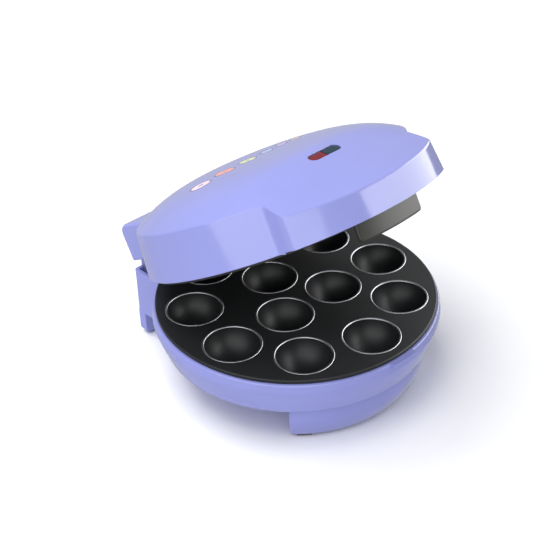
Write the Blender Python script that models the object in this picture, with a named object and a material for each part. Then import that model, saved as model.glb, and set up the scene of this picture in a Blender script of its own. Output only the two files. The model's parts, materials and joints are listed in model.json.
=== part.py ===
"""Electric cake-ball maker with a hinged lid, twelve round cavities in each plate.

Every size is in metres. The plate frame has its origin at the middle of the lower plate's
cooking face, +Z up, with the hinge at +Y and the grip at -Y. The lid's pieces are drawn in the
same frame as when the lid is shut, and hang from an empty on the hinge axis that opens them.
"""
import math

import bmesh
import bpy
from mathutils import Matrix, Vector

MM = 0.001

# Overall sizes.
PLATE_RADIUS = 100 * MM
STAND_HEIGHT = 60 * MM          # bench to the lower cooking face
LID_OPENING = math.radians(28.8)
FIT_GAP = 0.3 * MM              # between pieces that touch
RUN_GAP = 0.5 * MM              # between pieces that move past each other
ROUND = 48                      # sides of the large turned pieces
SMALL_ROUND = 14                # sides of bosses, holes and screws

# Cooking plates.
CUP_RADIUS = 19.3 * MM
CUP_DEPTH = 18 * MM
CUP_WALL = 2 * MM
OUTER_RING = 0.732 * PLATE_RADIUS
OUTER_CUPS = 9
INNER_RING = 0.273 * PLATE_RADIUS
INNER_CUPS = 3
PLATE_THICKNESS = 2.7 * MM
SKIRT_THICKNESS = 2.2 * MM
SKIRT_DEPTH = 7 * MM
PLATE_GAP = 0.5 * MM            # between the two cooking faces when shut
POST_RADIUS = 4.2 * MM
POST_ANGLES = (20, 100, 140)

# Screw fixings of plates and shields.
FIXING_RING = 0.86 * PLATE_RADIUS
FIXING_ANGLES = (-60, 60, 180)
BOSS_RADIUS = 4.6 * MM
SCREW_RADIUS = 1.9 * MM
HEAD_RADIUS = 3.5 * MM
HEAD_HEIGHT = 2.2 * MM
SHIELD_OFFSET = CUP_DEPTH + CUP_WALL + 3.5 * MM      # cooking face to the near side of the shield
SHIELD_THICKNESS = 0.8 * MM
SHIELD_RADIUS = PLATE_RADIUS - 7.5 * MM
SHIELD_LIP = 3 * MM

# Tubular heaters.
HEATER_RING = PLATE_RADIUS / 2
HEATER_RADIUS = 3 * MM
HEATER_DEPTH = CUP_DEPTH - 0.5 * MM      # cooking face to the tube's middle
HEATER_BEND = 8 * MM
HEATER_END_X = 8.3 * MM
HEATER_END_Y = FIXING_RING - 5 * MM
TERMINAL_LENGTH = 7 * MM

# Base housing.
WALL = 2.5 * MM
RIM_RADIUS = PLATE_RADIUS + 2 * MM
RIM_LEDGE = 2.5 * MM
RIM_TOP = -(PLATE_THICKNESS + FIT_GAP)
BOWL_FLOOR = -(SHIELD_OFFSET + 7.5 * MM)
BOWL_OUTLINE = ((0.6 * MM, -10 * MM), (-0.9 * MM, -15 * MM), (-2.4 * MM, -20 * MM),
                (-4.4 * MM, -25 * MM), (-5.8 * MM, BOWL_FLOOR + 1.6 * MM), (-7.4 * MM, BOWL_FLOOR))
PAD_HEIGHT = 1.2 * MM
FOOT_LEVEL = -(STAND_HEIGHT - PAD_HEIGHT - FIT_GAP)
PEDESTAL_HALF_ANGLE = 47.5
PEDESTAL_FOOT_RADIUS = RIM_RADIUS - 16 * MM
PEDESTAL_INNER_RADIUS = PEDESTAL_FOOT_RADIUS - 26 * MM
PEDESTAL_BULGE = 2.5 * MM
PEDESTAL_STEP = 0.9 * MM
BRACKET_HALF_WIDTH = 59 * MM
BRACKET_REAR = RIM_RADIUS + 8 * MM
BRACKET_FRONT = RIM_RADIUS - 26 * MM
BRACKET_TOP = -3 * MM
BRACKET_BOTTOM = BOWL_FLOOR - 9 * MM
LEG_WIDTH = 11 * MM
LEG_DEPTH = 8 * MM
LEG_ROUNDING = 4.5 * MM
WINDOW_HALF_WIDTH = 8 * MM
WINDOW_LOW = -(HEATER_DEPTH + 6.5 * MM)
WINDOW_HIGH = -(HEATER_DEPTH - 4.5 * MM)
GLAND_LEVEL = -22 * MM
GLAND_RADIUS = 5 * MM
CORD_HOLE_RADIUS = 3.4 * MM
FRONT_PAD_DEPTH = 8.5 * MM
FRONT_PAD_ANGLE = 7
REAR_PAD_RADIUS = 3.4 * MM

# Hinge.
HINGE_Y = RIM_RADIUS + 3.5 * MM
HINGE_Z = 14.8 * MM
PIN_RADIUS = 2 * MM
EAR_RADIUS = 4.5 * MM
EAR_INNER = 46 * MM
EAR_OUTER = 52 * MM
EAR_FOOT = -20 * MM
LUG_INNER = EAR_INNER - 6.5 * MM
PIN_INNER = LUG_INNER - 0.5 * MM
HINGE_COVER_HALF_WIDTH = 59 * MM
PIN_OUTER = HINGE_COVER_HALF_WIDTH - 2 * MM
HINGE_COVER_FRONT = RIM_RADIUS - 22 * MM
HINGE_COVER_REAR = HINGE_Y + 10.5 * MM
HINGE_COVER_LOW = HINGE_Z - 7.8 * MM
HINGE_COVER_TOP = HINGE_Z + 20.7 * MM
HINGE_COVER_ROUNDING = 7.5 * MM
EAR_SWING = 3 * MM               # room over an ear when the lid stands fully open

# Lid.
LID_WALL = 2.4 * MM
LID_RIM_Z = 2.5 * MM
LID_RIM_RADIUS = RIM_RADIUS
LID_TOP_RADIUS = LID_RIM_RADIUS - 3.5 * MM
LID_EDGE_Z = SHIELD_OFFSET + 12 * MM
LID_CROWN = 17 * MM
LID_CROWN_POWER = 3.75
LID_EDGE_ROUNDING = 3 * MM
VISOR_Y = -(RIM_RADIUS + 6 * MM)
VISOR_Z = LID_EDGE_Z - 10 * MM
VISOR_SLOPE = 0.49
VISOR_SIDE_FALL = 1.7           # height lost per square metre of x
CREASE_SOFTNESS = 2.5 * MM
GRIP_RIM_RADIUS = LID_RIM_RADIUS + 13.5 * MM
GRIP_TOP_RADIUS = LID_TOP_RADIUS + 14.5 * MM
GRIP_LOW_Z = 4.5 * MM
GRIP_FLAT_ANGLE = 36
GRIP_END_ANGLE = 43
FRONT_WALL_RADIUS = LID_RIM_RADIUS - 0.4 * MM
POCKET_HALF_ANGLE = 35

# Latch.
LATCH_RADIUS = RIM_RADIUS + 3.6 * MM
LATCH_THICKNESS = 2.4 * MM
LATCH_HALF_WIDTH = 27.865 * MM     # within its pin's lugs
LATCH_HALF_ANGLE = math.degrees(math.asin(LATCH_HALF_WIDTH / LATCH_RADIUS))
LATCH_LOW = -9.5 * MM
LATCH_PIVOT_Y = -(RIM_RADIUS + 2.2 * MM)
LATCH_PIVOT_Z = 15 * MM
LATCH_PIN_RADIUS = 1.2 * MM
KNUCKLE_RADIUS = 2.3 * MM
KNUCKLE_INNER = 14 * MM
KNUCKLE_OUTER = 28 * MM
LATCH_LUG_THICKNESS = 3 * MM
NIB_REACH = 1.6 * MM
NIB_HEIGHT = 3.2 * MM
NIB_HALF_ANGLE = 12
CATCH_HALF_ANGLE = 6
CATCH_REACH = 3 * MM
CATCH_HEIGHT = 3 * MM
SPRING_TURNS = 5
SPRING_WIRE = 0.35 * MM
SPRING_LENGTH = 9 * MM

# Indicator lamps.
LENS_Y = -0.66 * PLATE_RADIUS
LENS_LENGTH = 26 * MM
LENS_WIDTH = 8 * MM
LENS_DEPTH = 4 * MM
LENS_RECESS = 0.8 * MM
LAMP_RADIUS = 2.2 * MM
LAMP_LENGTH = 9 * MM
HOLDER_WALL = 1.6 * MM
HOLDER_DEPTH = 8 * MM

# Thermostat and fuse on the back of the upper plate.
SENSOR_RING = 0.38 * PLATE_RADIUS
THERMOSTAT_RADIUS = 7.5 * MM
THERMOSTAT_HEIGHT = 8 * MM
FUSE_RADIUS = 2 * MM
FUSE_LENGTH = 12 * MM

# Terminal block in the rear bracket.
BLOCK_LOW = (14 * MM, RIM_RADIUS - 1.8 * MM, GLAND_LEVEL - 5 * MM)
BLOCK_HIGH = (38 * MM, RIM_RADIUS + 4.6 * MM, GLAND_LEVEL + 5 * MM)


def polar(radius, degrees, z=0.0):
    """A point by its angle from the front, -Y, positive towards +X."""
    angle = math.radians(degrees)
    return Vector((radius * math.sin(angle), -radius * math.cos(angle), z))


def smooth_step(value):
    value = min(max(value, 0.0), 1.0)
    return value * value * (3 - 2 * value)


def smooth_min(first, second, softness):
    nearness = max(softness - abs(first - second), 0) / softness
    return min(first, second) - nearness * nearness * softness / 4


# Building blocks.

def add_solid(name, shape):
    """A bmesh as a named object, with its faces pointing out."""
    bmesh.ops.recalc_face_normals(shape, faces=shape.faces)
    mesh = bpy.data.meshes.new(name)
    shape.to_mesh(mesh)
    shape.free()
    piece = bpy.data.objects.new(name, mesh)
    bpy.context.scene.collection.objects.link(piece)
    return piece


def stack_rings(name, rings):
    """A closed solid through rings of points; a ring of one point is a pole."""
    shape = bmesh.new()
    layers = [[shape.verts.new(point) for point in ring] for ring in rings]
    for low, high in zip(layers, layers[1:]):
        count = max(len(low), len(high))
        for i in range(count):
            j = (i + 1) % count
            corners = [low[i % len(low)], low[j % len(low)], high[j % len(high)], high[i % len(high)]]
            shape.faces.new(dict.fromkeys(corners))
    for layer in (layers[0], layers[-1]):
        if len(layer) > 2:
            shape.faces.new(layer)
    return add_solid(name, shape)


def turn(name, profile, sides=ROUND, centre=(0, 0)):
    """A profile of (radius, z) points turned about a vertical axis, its ends capped."""
    rings = []
    for radius, z in profile:
        if radius == 0:
            rings.append([(centre[0], centre[1], z)])
            continue
        steps = [2 * math.pi * i / sides for i in range(sides)]
        rings.append([(centre[0] + radius * math.sin(a), centre[1] - radius * math.cos(a), z) for a in steps])
    return stack_rings(name, rings)


def column(name, centre, radius, low, high, sides=SMALL_ROUND):
    return turn(name, ((radius, low), (radius, high)), sides, centre)


def rod(name, start, length, radius, axis, sides=SMALL_ROUND):
    """A round rod along +X or +Y from a start point."""
    piece = column(name, (0, 0), radius, 0, length, sides)
    turn_to = {"X": Matrix.Rotation(math.pi / 2, 4, "Y"), "Y": Matrix.Rotation(-math.pi / 2, 4, "X")}[axis]
    piece.data.transform(Matrix.Translation(start) @ turn_to)
    return piece


def block(name, low, high):
    corners = [(low[0], low[1]), (high[0], low[1]), (high[0], high[1]), (low[0], high[1])]
    return stack_rings(name, [[(x, y, z) for x, y in corners] for z in (low[2], high[2])])


def extrude_side(name, outline, x_low, x_high):
    """An outline of (y, z) points extruded along X."""
    return stack_rings(name, [[(x, y, z) for y, z in outline] for x in (x_low, x_high)])


def arc_block(name, layers, start, end, steps):
    """A curved block: each layer gives its inner radius, outer radius and z."""
    angles = [start + (end - start) * i / steps for i in range(steps + 1)]
    rings = []
    for inner, outer, z in layers:
        rings.append([polar(outer, a, z) for a in angles] + [polar(inner, a, z) for a in reversed(angles)])
    return stack_rings(name, rings)


def combine(target, tools, operation):
    """Joins, cuts or keeps the common part of solids, and removes the tools."""
    for tool in tools:
        step = target.modifiers.new(operation.lower(), "BOOLEAN")
        step.operation = operation
        step.object = tool
    bpy.context.view_layer.update()
    solid = target.evaluated_get(bpy.context.evaluated_depsgraph_get())
    shaped = bpy.data.meshes.new_from_object(solid)
    target.modifiers.clear()
    target.data = shaped
    for tool in tools:
        bpy.data.objects.remove(tool)
    return target


def join(target, tools):
    return combine(target, tools, "UNION")


def cut(target, tools):
    return combine(target, tools, "DIFFERENCE")


def sweep(name, points, radius, resolution=1):
    """A round tube through points, with closed ends."""
    curve = bpy.data.curves.new(name, "CURVE")
    curve.dimensions = "3D"
    curve.bevel_depth = radius
    curve.bevel_resolution = resolution
    curve.use_fill_caps = True
    spline = curve.splines.new("POLY")
    spline.points.add(len(points) - 1)
    for knot, point in zip(spline.points, points):
        knot.co = (*point, 1)
    piece = bpy.data.objects.new(name, curve)
    bpy.context.scene.collection.objects.link(piece)
    return piece


def finish(piece, material, frame, angle=35):
    """Gives a piece its material and shading, and hangs it on its body's frame."""
    piece.data.materials.clear()
    piece.data.materials.append(material)
    if piece.type == "MESH":
        piece.data.shade_smooth()
        piece.data.set_sharp_from_angle(angle=math.radians(angle))
    piece.parent = frame
    piece.location = -Vector(frame["middle"])
    return piece


def add_frame(name, middle, parent=None):
    """An empty for a body, at a point of the plate frame."""
    frame = bpy.data.objects.new(name, None)
    bpy.context.scene.collection.objects.link(frame)
    frame["middle"] = middle
    frame.location = Vector(middle)
    if parent:
        frame.parent = parent
        frame.location -= Vector(parent["middle"])
    return frame


def add_material(name, colour, roughness, metallic=0.0):
    material = bpy.data.materials.new(name)
    material.use_nodes = True
    shader = material.node_tree.nodes["Principled BSDF"]
    shader.inputs["Base Color"].default_value = (*colour, 1)
    shader.inputs["Roughness"].default_value = roughness
    shader.inputs["Metallic"].default_value = metallic
    material.diffuse_color = (*colour, 1)
    return material


# Cooking plates, shields, heaters and screws. They are drawn for the lower plate, and
# turned over for the upper one, whose cooking face is one plate gap higher.

def cup_places():
    """Middles of the cavities: one ring of nine and, inside it, one ring of three."""
    outer = [polar(OUTER_RING, 360 * i / OUTER_CUPS) for i in range(OUTER_CUPS)]
    inner = [polar(INNER_RING, 180 + 360 * i / INNER_CUPS) for i in range(INNER_CUPS)]
    return outer + inner


def fixing_places():
    return [polar(FIXING_RING, angle) for angle in FIXING_ANGLES]


def merge(name, pieces):
    """Several separate solids as one tool for a boolean."""
    shape = bmesh.new()
    for piece in pieces:
        shape.from_mesh(piece.data)
        bpy.data.objects.remove(piece)
    return add_solid(name, shape)


def cup_tool(centre, wall, top, sides, rings):
    """The round bottom of a cavity, or with a wall the outside of its cup, up to a level."""
    sphere = (CUP_RADIUS ** 2 + CUP_DEPTH ** 2) / (2 * CUP_DEPTH)
    middle = sphere - CUP_DEPTH
    radius = sphere + wall
    last = math.acos(min(max((middle - top) / radius, -1), 1))
    profile = [(0, middle - radius)]
    for i in range(1, rings + 1):
        angle = last * i / rings
        profile.append((radius * math.sin(angle), middle - radius * math.cos(angle)))
    return turn("cup", profile, sides, centre[:2])


def make_plate(name, edge_radius, skirt_radius, hole_profile):
    """A cast plate, cooking face up at z = 0, with cups, heater posts and screw bosses below."""
    thin = -PLATE_THICKNESS
    low = -SKIRT_DEPTH
    profile = ((edge_radius, 0), (edge_radius, thin), (skirt_radius, thin), (skirt_radius, low),
               (skirt_radius - SKIRT_THICKNESS, low), (skirt_radius - SKIRT_THICKNESS, thin))
    plate = turn(name, profile)
    sink = -PLATE_THICKNESS / 2
    outsides = [cup_tool(place, CUP_WALL, sink, 12, 3) for place in cup_places()]
    post_end = FIT_GAP - HEATER_DEPTH + HEATER_RADIUS
    for angle in POST_ANGLES:
        for side in (-1, 1):
            outsides.append(column("post", polar(HEATER_RING, side * angle), POST_RADIUS, post_end, sink, 8))
    for place in fixing_places():
        outsides.append(column("boss", place, BOSS_RADIUS, FIT_GAP - SHIELD_OFFSET, sink))
    join(plate, [merge("outsides", outsides)])
    above = 2 * MM
    hollows = [cup_tool(place, 0, above, 14, 4) for place in cup_places()]
    hollows += [turn("hole", hole_profile, SMALL_ROUND, place[:2]) for place in fixing_places()]
    return cut(plate, [merge("hollows", hollows)])


def blind_holes():
    """Section of a screw's blind hole in a boss, open away from the cooking face."""
    return ((SCREW_RADIUS + FIT_GAP, -SHIELD_OFFSET - MM), (SCREW_RADIUS + FIT_GAP, -11 * MM))


def headed_holes():
    """Section of a screw's hole right through a boss, wide at the cooking face for its head."""
    seat = -(HEAD_HEIGHT + 2 * FIT_GAP)
    return ((SCREW_RADIUS + FIT_GAP, -SHIELD_OFFSET - MM), (SCREW_RADIUS + FIT_GAP, seat),
            (HEAD_RADIUS + FIT_GAP, seat), (HEAD_RADIUS + FIT_GAP, 2 * MM))


def make_shield(name):
    """A thin tray over the plate's back, open for the screws."""
    near = -SHIELD_OFFSET
    far = near - SHIELD_THICKNESS
    inside = SHIELD_RADIUS - SHIELD_THICKNESS
    profile = ((inside, near), (inside, near + SHIELD_LIP), (SHIELD_RADIUS, near + SHIELD_LIP),
               (SHIELD_RADIUS, far))
    shield = turn(name, profile, ROUND // 2)
    holes = [column("hole", place, SCREW_RADIUS + FIT_GAP, far - MM, near + MM) for place in fixing_places()]
    return cut(shield, [merge("holes", holes)])


def heater_path():
    """The tube's middle line: nearly a full turn, with both ends led out to the rear."""
    reach = HEATER_RING + HEATER_BEND
    bend_x = HEATER_END_X + HEATER_BEND
    bend_y = math.sqrt(reach ** 2 - bend_x ** 2)
    last = 180 - math.degrees(math.asin(bend_x / reach))
    path = [polar(HEATER_RING, last * i / 20, -HEATER_DEPTH) for i in range(21)]
    start = math.atan2(-bend_y, -bend_x) + 2 * math.pi
    for i in range(1, 5):
        angle = start + (math.pi - start) * i / 4
        path.append(Vector((bend_x + HEATER_BEND * math.cos(angle),
                            bend_y + HEATER_BEND * math.sin(angle), -HEATER_DEPTH)))
    path.append(Vector((HEATER_END_X, HEATER_END_Y, -HEATER_DEPTH)))
    mirrored = [Vector((-point.x, point.y, point.z)) for point in reversed(path[1:])]
    return mirrored + path


def make_terminal(name, side):
    """A ceramic collar with a tab, on one end of the heater."""
    start = (side * HEATER_END_X, HEATER_END_Y + FIT_GAP, -HEATER_DEPTH)
    collar = rod(name, start, TERMINAL_LENGTH * 0.6, HEATER_RADIUS * 0.9, "Y")
    tab_start = HEATER_END_Y + TERMINAL_LENGTH * 0.5
    low = (side * HEATER_END_X - 1.5 * MM, tab_start, -HEATER_DEPTH - 0.4 * MM)
    high = (side * HEATER_END_X + 1.5 * MM, tab_start + TERMINAL_LENGTH, -HEATER_DEPTH + 0.4 * MM)
    return join(collar, [block("tab", low, high)])


def make_screw(name, place, head_end, head_start, tip):
    """A pan-head screw along Z, its head between two levels and its tip at a third."""
    up = 1 if tip > head_start else -1
    profile = ((HEAD_RADIUS * 0.8, head_end), (HEAD_RADIUS, head_end + up * HEAD_HEIGHT * 0.35),
               (HEAD_RADIUS, head_start), (SCREW_RADIUS, head_start), (SCREW_RADIUS, tip - up * MM),
               (SCREW_RADIUS * 0.5, tip))
    return turn(name, profile, SMALL_ROUND, place[:2])


def turn_over(piece):
    """Moves a lower-plate piece to the upper plate's place."""
    points = piece.data.splines[0].points if piece.type == "CURVE" else None
    if points:
        for point in points:
            point.co.z = PLATE_GAP - point.co.z
        return piece
    piece.data.transform(Matrix.Translation((0, 0, PLATE_GAP)) @ Matrix.Diagonal((1, 1, -1, 1)))
    piece.data.flip_normals()
    return piece


# Base housing.

def bowl_profile(inset):
    """Half of the bowl's section from the rim to the middle of its floor."""
    points = [(RIM_RADIUS + out - inset, z) for out, z in ((0, RIM_TOP - 1.2 * MM),) + BOWL_OUTLINE]
    if inset:
        inside = [(radius, z) for radius, z in points if z > BOWL_FLOOR + inset]
        return [(RIM_RADIUS - RIM_LEDGE, 5 * MM)] + inside + [(points[-1][0], BOWL_FLOOR + inset)]
    return [(RIM_RADIUS - 0.6 * MM, RIM_TOP)] + points


def pedestal_radius(z):
    """Outer radius of the front pedestal: it narrows to its foot with a slight bulge."""
    top_radius = RIM_RADIUS + BOWL_OUTLINE[-1][0] - PEDESTAL_STEP
    share = (BOWL_FLOOR - z) / (BOWL_FLOOR - FOOT_LEVEL)
    share = min(max(share, 0), 1)
    straight = top_radius + (PEDESTAL_FOOT_RADIUS - top_radius) * share
    return straight + PEDESTAL_BULGE * math.sin(math.pi * share)


def make_pedestal(name, inset, top):
    levels = [FOOT_LEVEL + inset + (BOWL_FLOOR - FOOT_LEVEL - inset) * i / 4 for i in range(5)] + [top]
    layers = [(PEDESTAL_INNER_RADIUS + inset, pedestal_radius(z) - inset, z) for z in levels]
    end = PEDESTAL_HALF_ANGLE - math.degrees(inset / PEDESTAL_FOOT_RADIUS)
    return arc_block(name, layers, -end, end, 16)


def leg_outline(side):
    """Front view of a rear leg, (x, z), with its outer foot corner rounded."""
    outer = BRACKET_HALF_WIDTH
    inner = outer - LEG_WIDTH
    points = [(inner, BRACKET_BOTTOM + MM), (inner, FOOT_LEVEL)]
    middle = (outer - LEG_ROUNDING, FOOT_LEVEL + LEG_ROUNDING)
    for i in range(5):
        angle = math.pi / 2 * i / 4
        points.append((middle[0] + LEG_ROUNDING * math.sin(angle),
                       middle[1] - LEG_ROUNDING * math.cos(angle)))
    points.append((outer, BRACKET_BOTTOM + MM))
    return [(side * x, z) for x, z in points]


def make_leg(side):
    rings = [[(x, y, z) for x, z in leg_outline(side)] for y in (BRACKET_REAR - LEG_DEPTH, BRACKET_REAR)]
    return stack_rings("leg", rings)


def make_ear(side):
    """A hinge ear of the base: a stem with a round head about the hinge axis."""
    rear = HINGE_Y + EAR_RADIUS
    outline = [(HINGE_Y - EAR_RADIUS, EAR_FOOT), (rear, EAR_FOOT)]
    for i in range(9):
        angle = math.pi * i / 8
        outline.append((HINGE_Y + EAR_RADIUS * math.cos(angle), HINGE_Z + EAR_RADIUS * math.sin(angle)))
    ends = sorted((side * EAR_INNER, side * EAR_OUTER))
    return extrude_side("ear", outline, *ends)


def make_catch():
    """The front tab that the latch hooks under."""
    top = RIM_TOP
    inner = RIM_RADIUS - MM
    outer = RIM_RADIUS + CATCH_REACH
    layers = [(inner, outer - 0.8 * MM, top - CATCH_HEIGHT), (inner, outer, top - CATCH_HEIGHT + 0.6 * MM),
              (inner, outer, top - 0.5 * MM), (inner, outer - 0.6 * MM, top)]
    return arc_block("catch", layers, -CATCH_HALF_ANGLE, CATCH_HALF_ANGLE, 4)


def make_base_shell():
    shell = turn("base_shell", bowl_profile(0))
    bracket = block("bracket", (-BRACKET_HALF_WIDTH, BRACKET_FRONT, BRACKET_BOTTOM),
                    (BRACKET_HALF_WIDTH, BRACKET_REAR, BRACKET_TOP))
    pedestal = make_pedestal("pedestal", 0, BOWL_FLOOR + MM)
    join(shell, [pedestal, bracket, make_leg(-1), make_leg(1), make_catch()])

    bowl_hollow = turn("bowl_hollow", bowl_profile(WALL))
    boss_tops = -(SHIELD_OFFSET + SHIELD_THICKNESS + FIT_GAP)
    bosses = [column("boss", place, BOSS_RADIUS, BOWL_FLOOR - MM, boss_tops) for place in fixing_places()]
    cut(bowl_hollow, [merge("bosses", bosses)])
    bracket_hollow = block("bracket_hollow",
                           (WALL - BRACKET_HALF_WIDTH, BRACKET_FRONT + WALL, BRACKET_BOTTOM + WALL),
                           (BRACKET_HALF_WIDTH - WALL, BRACKET_REAR - WALL, 5 * MM))
    cut(bracket_hollow, [turn("bowl_outside", [(RIM_RADIUS, 8 * MM)] + bowl_profile(0)[1:])])
    pedestal_hollow = make_pedestal("pedestal_hollow", WALL, BOWL_FLOOR + WALL + MM)
    cut(shell, [bowl_hollow, bracket_hollow, pedestal_hollow])

    join(shell, [make_ear(-1), make_ear(1)])
    bores = [rod("bore", (x, HINGE_Y, HINGE_Z), EAR_OUTER - EAR_INNER + 2 * MM, PIN_RADIUS + FIT_GAP, "X")
             for x in (-EAR_OUTER - MM, EAR_INNER - MM)]
    holes = []
    for place in fixing_places():
        recess = BOWL_FLOOR + HEAD_HEIGHT + 3 * FIT_GAP
        profile = ((HEAD_RADIUS + FIT_GAP, BRACKET_BOTTOM - MM), (HEAD_RADIUS + FIT_GAP, recess),
                   (SCREW_RADIUS + FIT_GAP, recess), (SCREW_RADIUS + FIT_GAP, boss_tops + MM))
        holes.append(turn("hole", profile, SMALL_ROUND, place[:2]))
    window = block("window", (-WINDOW_HALF_WIDTH, BRACKET_FRONT + 14 * MM, WINDOW_LOW),
                   (WINDOW_HALF_WIDTH, BRACKET_REAR - WALL - 2 * MM, WINDOW_HIGH))
    gland_hole = rod("gland_hole", (0, BRACKET_REAR - WALL - MM, GLAND_LEVEL), WALL + 2 * MM,
                     GLAND_RADIUS + FIT_GAP, "Y", 16)
    return cut(shell, [merge("bores", bores), merge("holes", holes), window, gland_hole])


def make_gland():
    """The cord bushing in the rear wall: a flanged sleeve, empty because no cord is fitted."""
    face = BRACKET_REAR + FIT_GAP
    gland = rod("cord_gland", (0, face, GLAND_LEVEL), 2.2 * MM, GLAND_RADIUS + 2 * MM, "Y", 20)
    join(gland, [rod("neck", (0, BRACKET_REAR - WALL - 1.5 * MM, GLAND_LEVEL), WALL + 3 * MM,
                     GLAND_RADIUS, "Y", 16)])
    return cut(gland, [rod("cord_way", (0, BRACKET_REAR - 9 * MM, GLAND_LEVEL), 18 * MM,
                           CORD_HOLE_RADIUS, "Y", 16)])


def make_terminal_block():
    """Three-way connector for the mains lead, with a screw well over each way."""
    body = block("terminal_block", BLOCK_LOW, BLOCK_HIGH)
    middle_y = (BLOCK_LOW[1] + BLOCK_HIGH[1]) / 2
    pitch = (BLOCK_HIGH[0] - BLOCK_LOW[0]) / 3
    wells = [column("well", (BLOCK_LOW[0] + pitch * (i + 0.5), middle_y), 2 * MM,
                    BLOCK_HIGH[2] - 5 * MM, BLOCK_HIGH[2] + MM, 10) for i in range(3)]
    return cut(body, [merge("wells", wells)])


def make_front_pad(name, side):
    low = -STAND_HEIGHT
    inner = PEDESTAL_FOOT_RADIUS - FRONT_PAD_DEPTH
    layers = [(inner, PEDESTAL_FOOT_RADIUS - 1.2 * MM, low),
              (inner, PEDESTAL_FOOT_RADIUS - 0.8 * MM, low + PAD_HEIGHT)]
    outer_end = PEDESTAL_HALF_ANGLE - 3
    ends = sorted((side * (outer_end - FRONT_PAD_ANGLE), side * outer_end))
    return arc_block(name, layers, *ends, 4)


def make_rear_pad(name, side):
    middle = (side * (BRACKET_HALF_WIDTH - LEG_WIDTH / 2 - MM), BRACKET_REAR - LEG_DEPTH / 2)
    profile = ((REAR_PAD_RADIUS - 0.4 * MM, -STAND_HEIGHT), (REAR_PAD_RADIUS, PAD_HEIGHT - STAND_HEIGHT))
    return turn(name, profile, 16, middle)


# Lid.

def lid_top(x, y):
    """Height of the lid's outer top: a dome at the back, a sloping visor at the front."""
    share = min(math.hypot(x, y) / LID_TOP_RADIUS, 1)
    dome = LID_EDGE_Z + LID_CROWN * (1 - share ** LID_CROWN_POWER)
    visor = VISOR_Z + VISOR_SLOPE * (y - VISOR_Y) - VISOR_SIDE_FALL * x * x
    return smooth_min(dome, visor, CREASE_SOFTNESS)


def grip_share(degrees):
    """1 across the grip at the front, 0 round the rest of the lid."""
    return smooth_step((GRIP_END_ANGLE - abs(degrees)) / (GRIP_END_ANGLE - GRIP_FLAT_ANGLE))


def lid_section(degrees, inset, low, with_grip=True, rings=6):
    """The lid's section at an angle, from its rim over its rounded edge to the middle."""
    share = grip_share(degrees) if with_grip else 0
    rim = LID_RIM_RADIUS + (GRIP_RIM_RADIUS - LID_RIM_RADIUS) * share - inset
    top = LID_TOP_RADIUS + (GRIP_TOP_RADIUS - LID_TOP_RADIUS) * share - inset
    shoulder = polar(top - LID_EDGE_ROUNDING, degrees)
    height = lid_top(shoulder.x, shoulder.y) - inset
    section = [polar(rim, degrees, z) for z in sorted({low, LID_RIM_Z})]
    for i in range(3):
        angle = math.pi / 2 * i / 3
        radius = top - LID_EDGE_ROUNDING * (1 - math.cos(angle))
        section.append(polar(radius, degrees, height - LID_EDGE_ROUNDING * (1 - math.sin(angle))))
    for i in range(rings):
        spot = polar((top - LID_EDGE_ROUNDING) * (1 - i / rings), degrees)
        section.append(Vector((spot.x, spot.y, lid_top(spot.x, spot.y) - inset)))
    return section


def lid_solid(name, inset, low, with_grip=True):
    angles = [360 * i / ROUND - 180 for i in range(ROUND)]
    sections = [lid_section(angle, inset, low, with_grip) for angle in angles]
    rings = [list(ring) for ring in zip(*sections)]
    return stack_rings(name, rings + [[(0, 0, lid_top(0, 0) - inset)]])


def pocket_hollow():
    """The hollow of the grip, open underneath: a section for each angle."""
    sections = []
    for i in range(15):
        degrees = POCKET_HALF_ANGLE * (i / 7 - 1)
        inner = polar(FRONT_WALL_RADIUS, degrees)
        outer = polar(GRIP_TOP_RADIUS - LID_WALL, degrees)
        low = -5 * MM
        sections.append([polar(FRONT_WALL_RADIUS, degrees, low),
                         polar(GRIP_RIM_RADIUS - LID_WALL, degrees, low),
                         polar(GRIP_TOP_RADIUS - LID_WALL, degrees, lid_top(outer.x, outer.y) - LID_WALL),
                         polar(FRONT_WALL_RADIUS, degrees, lid_top(inner.x, inner.y) - LID_WALL)])
    return stack_rings("pocket", sections)


def hinge_cover_outline(inset, low):
    """Side view, (y, z), of the cover over the hinge, with its top rear corner rounded."""
    rear = HINGE_COVER_REAR - inset
    top = HINGE_COVER_TOP - inset
    rounding = HINGE_COVER_ROUNDING - inset
    outline = [(HINGE_COVER_FRONT + inset, low), (rear, low)]
    for i in range(5):
        angle = math.pi / 2 * i / 4
        outline.append((rear - rounding * (1 - math.cos(angle)), top - rounding * (1 - math.sin(angle))))
    outline.append((HINGE_COVER_FRONT + inset, top))
    return outline


def lens_frame(extra=0.0):
    """Place of the indicator window: X across the lid, Z along the visor's normal."""
    tilt = math.atan(VISOR_SLOPE)
    surface = Vector((0, LENS_Y, lid_top(0, LENS_Y)))
    return Matrix.Translation(surface) @ Matrix.Rotation(tilt, 4, "X") @ Matrix.Translation((0, 0, extra))


def half_capsule(side, length, width, start, steps=6):
    """Outline of one rounded end of a slot, cut off square at x = start."""
    radius = width / 2
    middle = length / 2 - radius
    points = [(start, -radius)]
    for i in range(steps + 1):
        angle = math.pi * i / steps - math.pi / 2
        points.append((middle + radius * math.cos(angle), radius * math.sin(angle)))
    points.append((start, radius))
    return [(side * x, y) for x, y in points]


def make_lens(name, side):
    outline = half_capsule(side, LENS_LENGTH, LENS_WIDTH, FIT_GAP / 2)
    levels = (-LENS_DEPTH - LENS_RECESS, -LENS_RECESS)
    lens = stack_rings(name, [[(x, y, z) for x, y in outline] for z in levels])
    lens.data.transform(lens_frame())
    return lens


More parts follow.
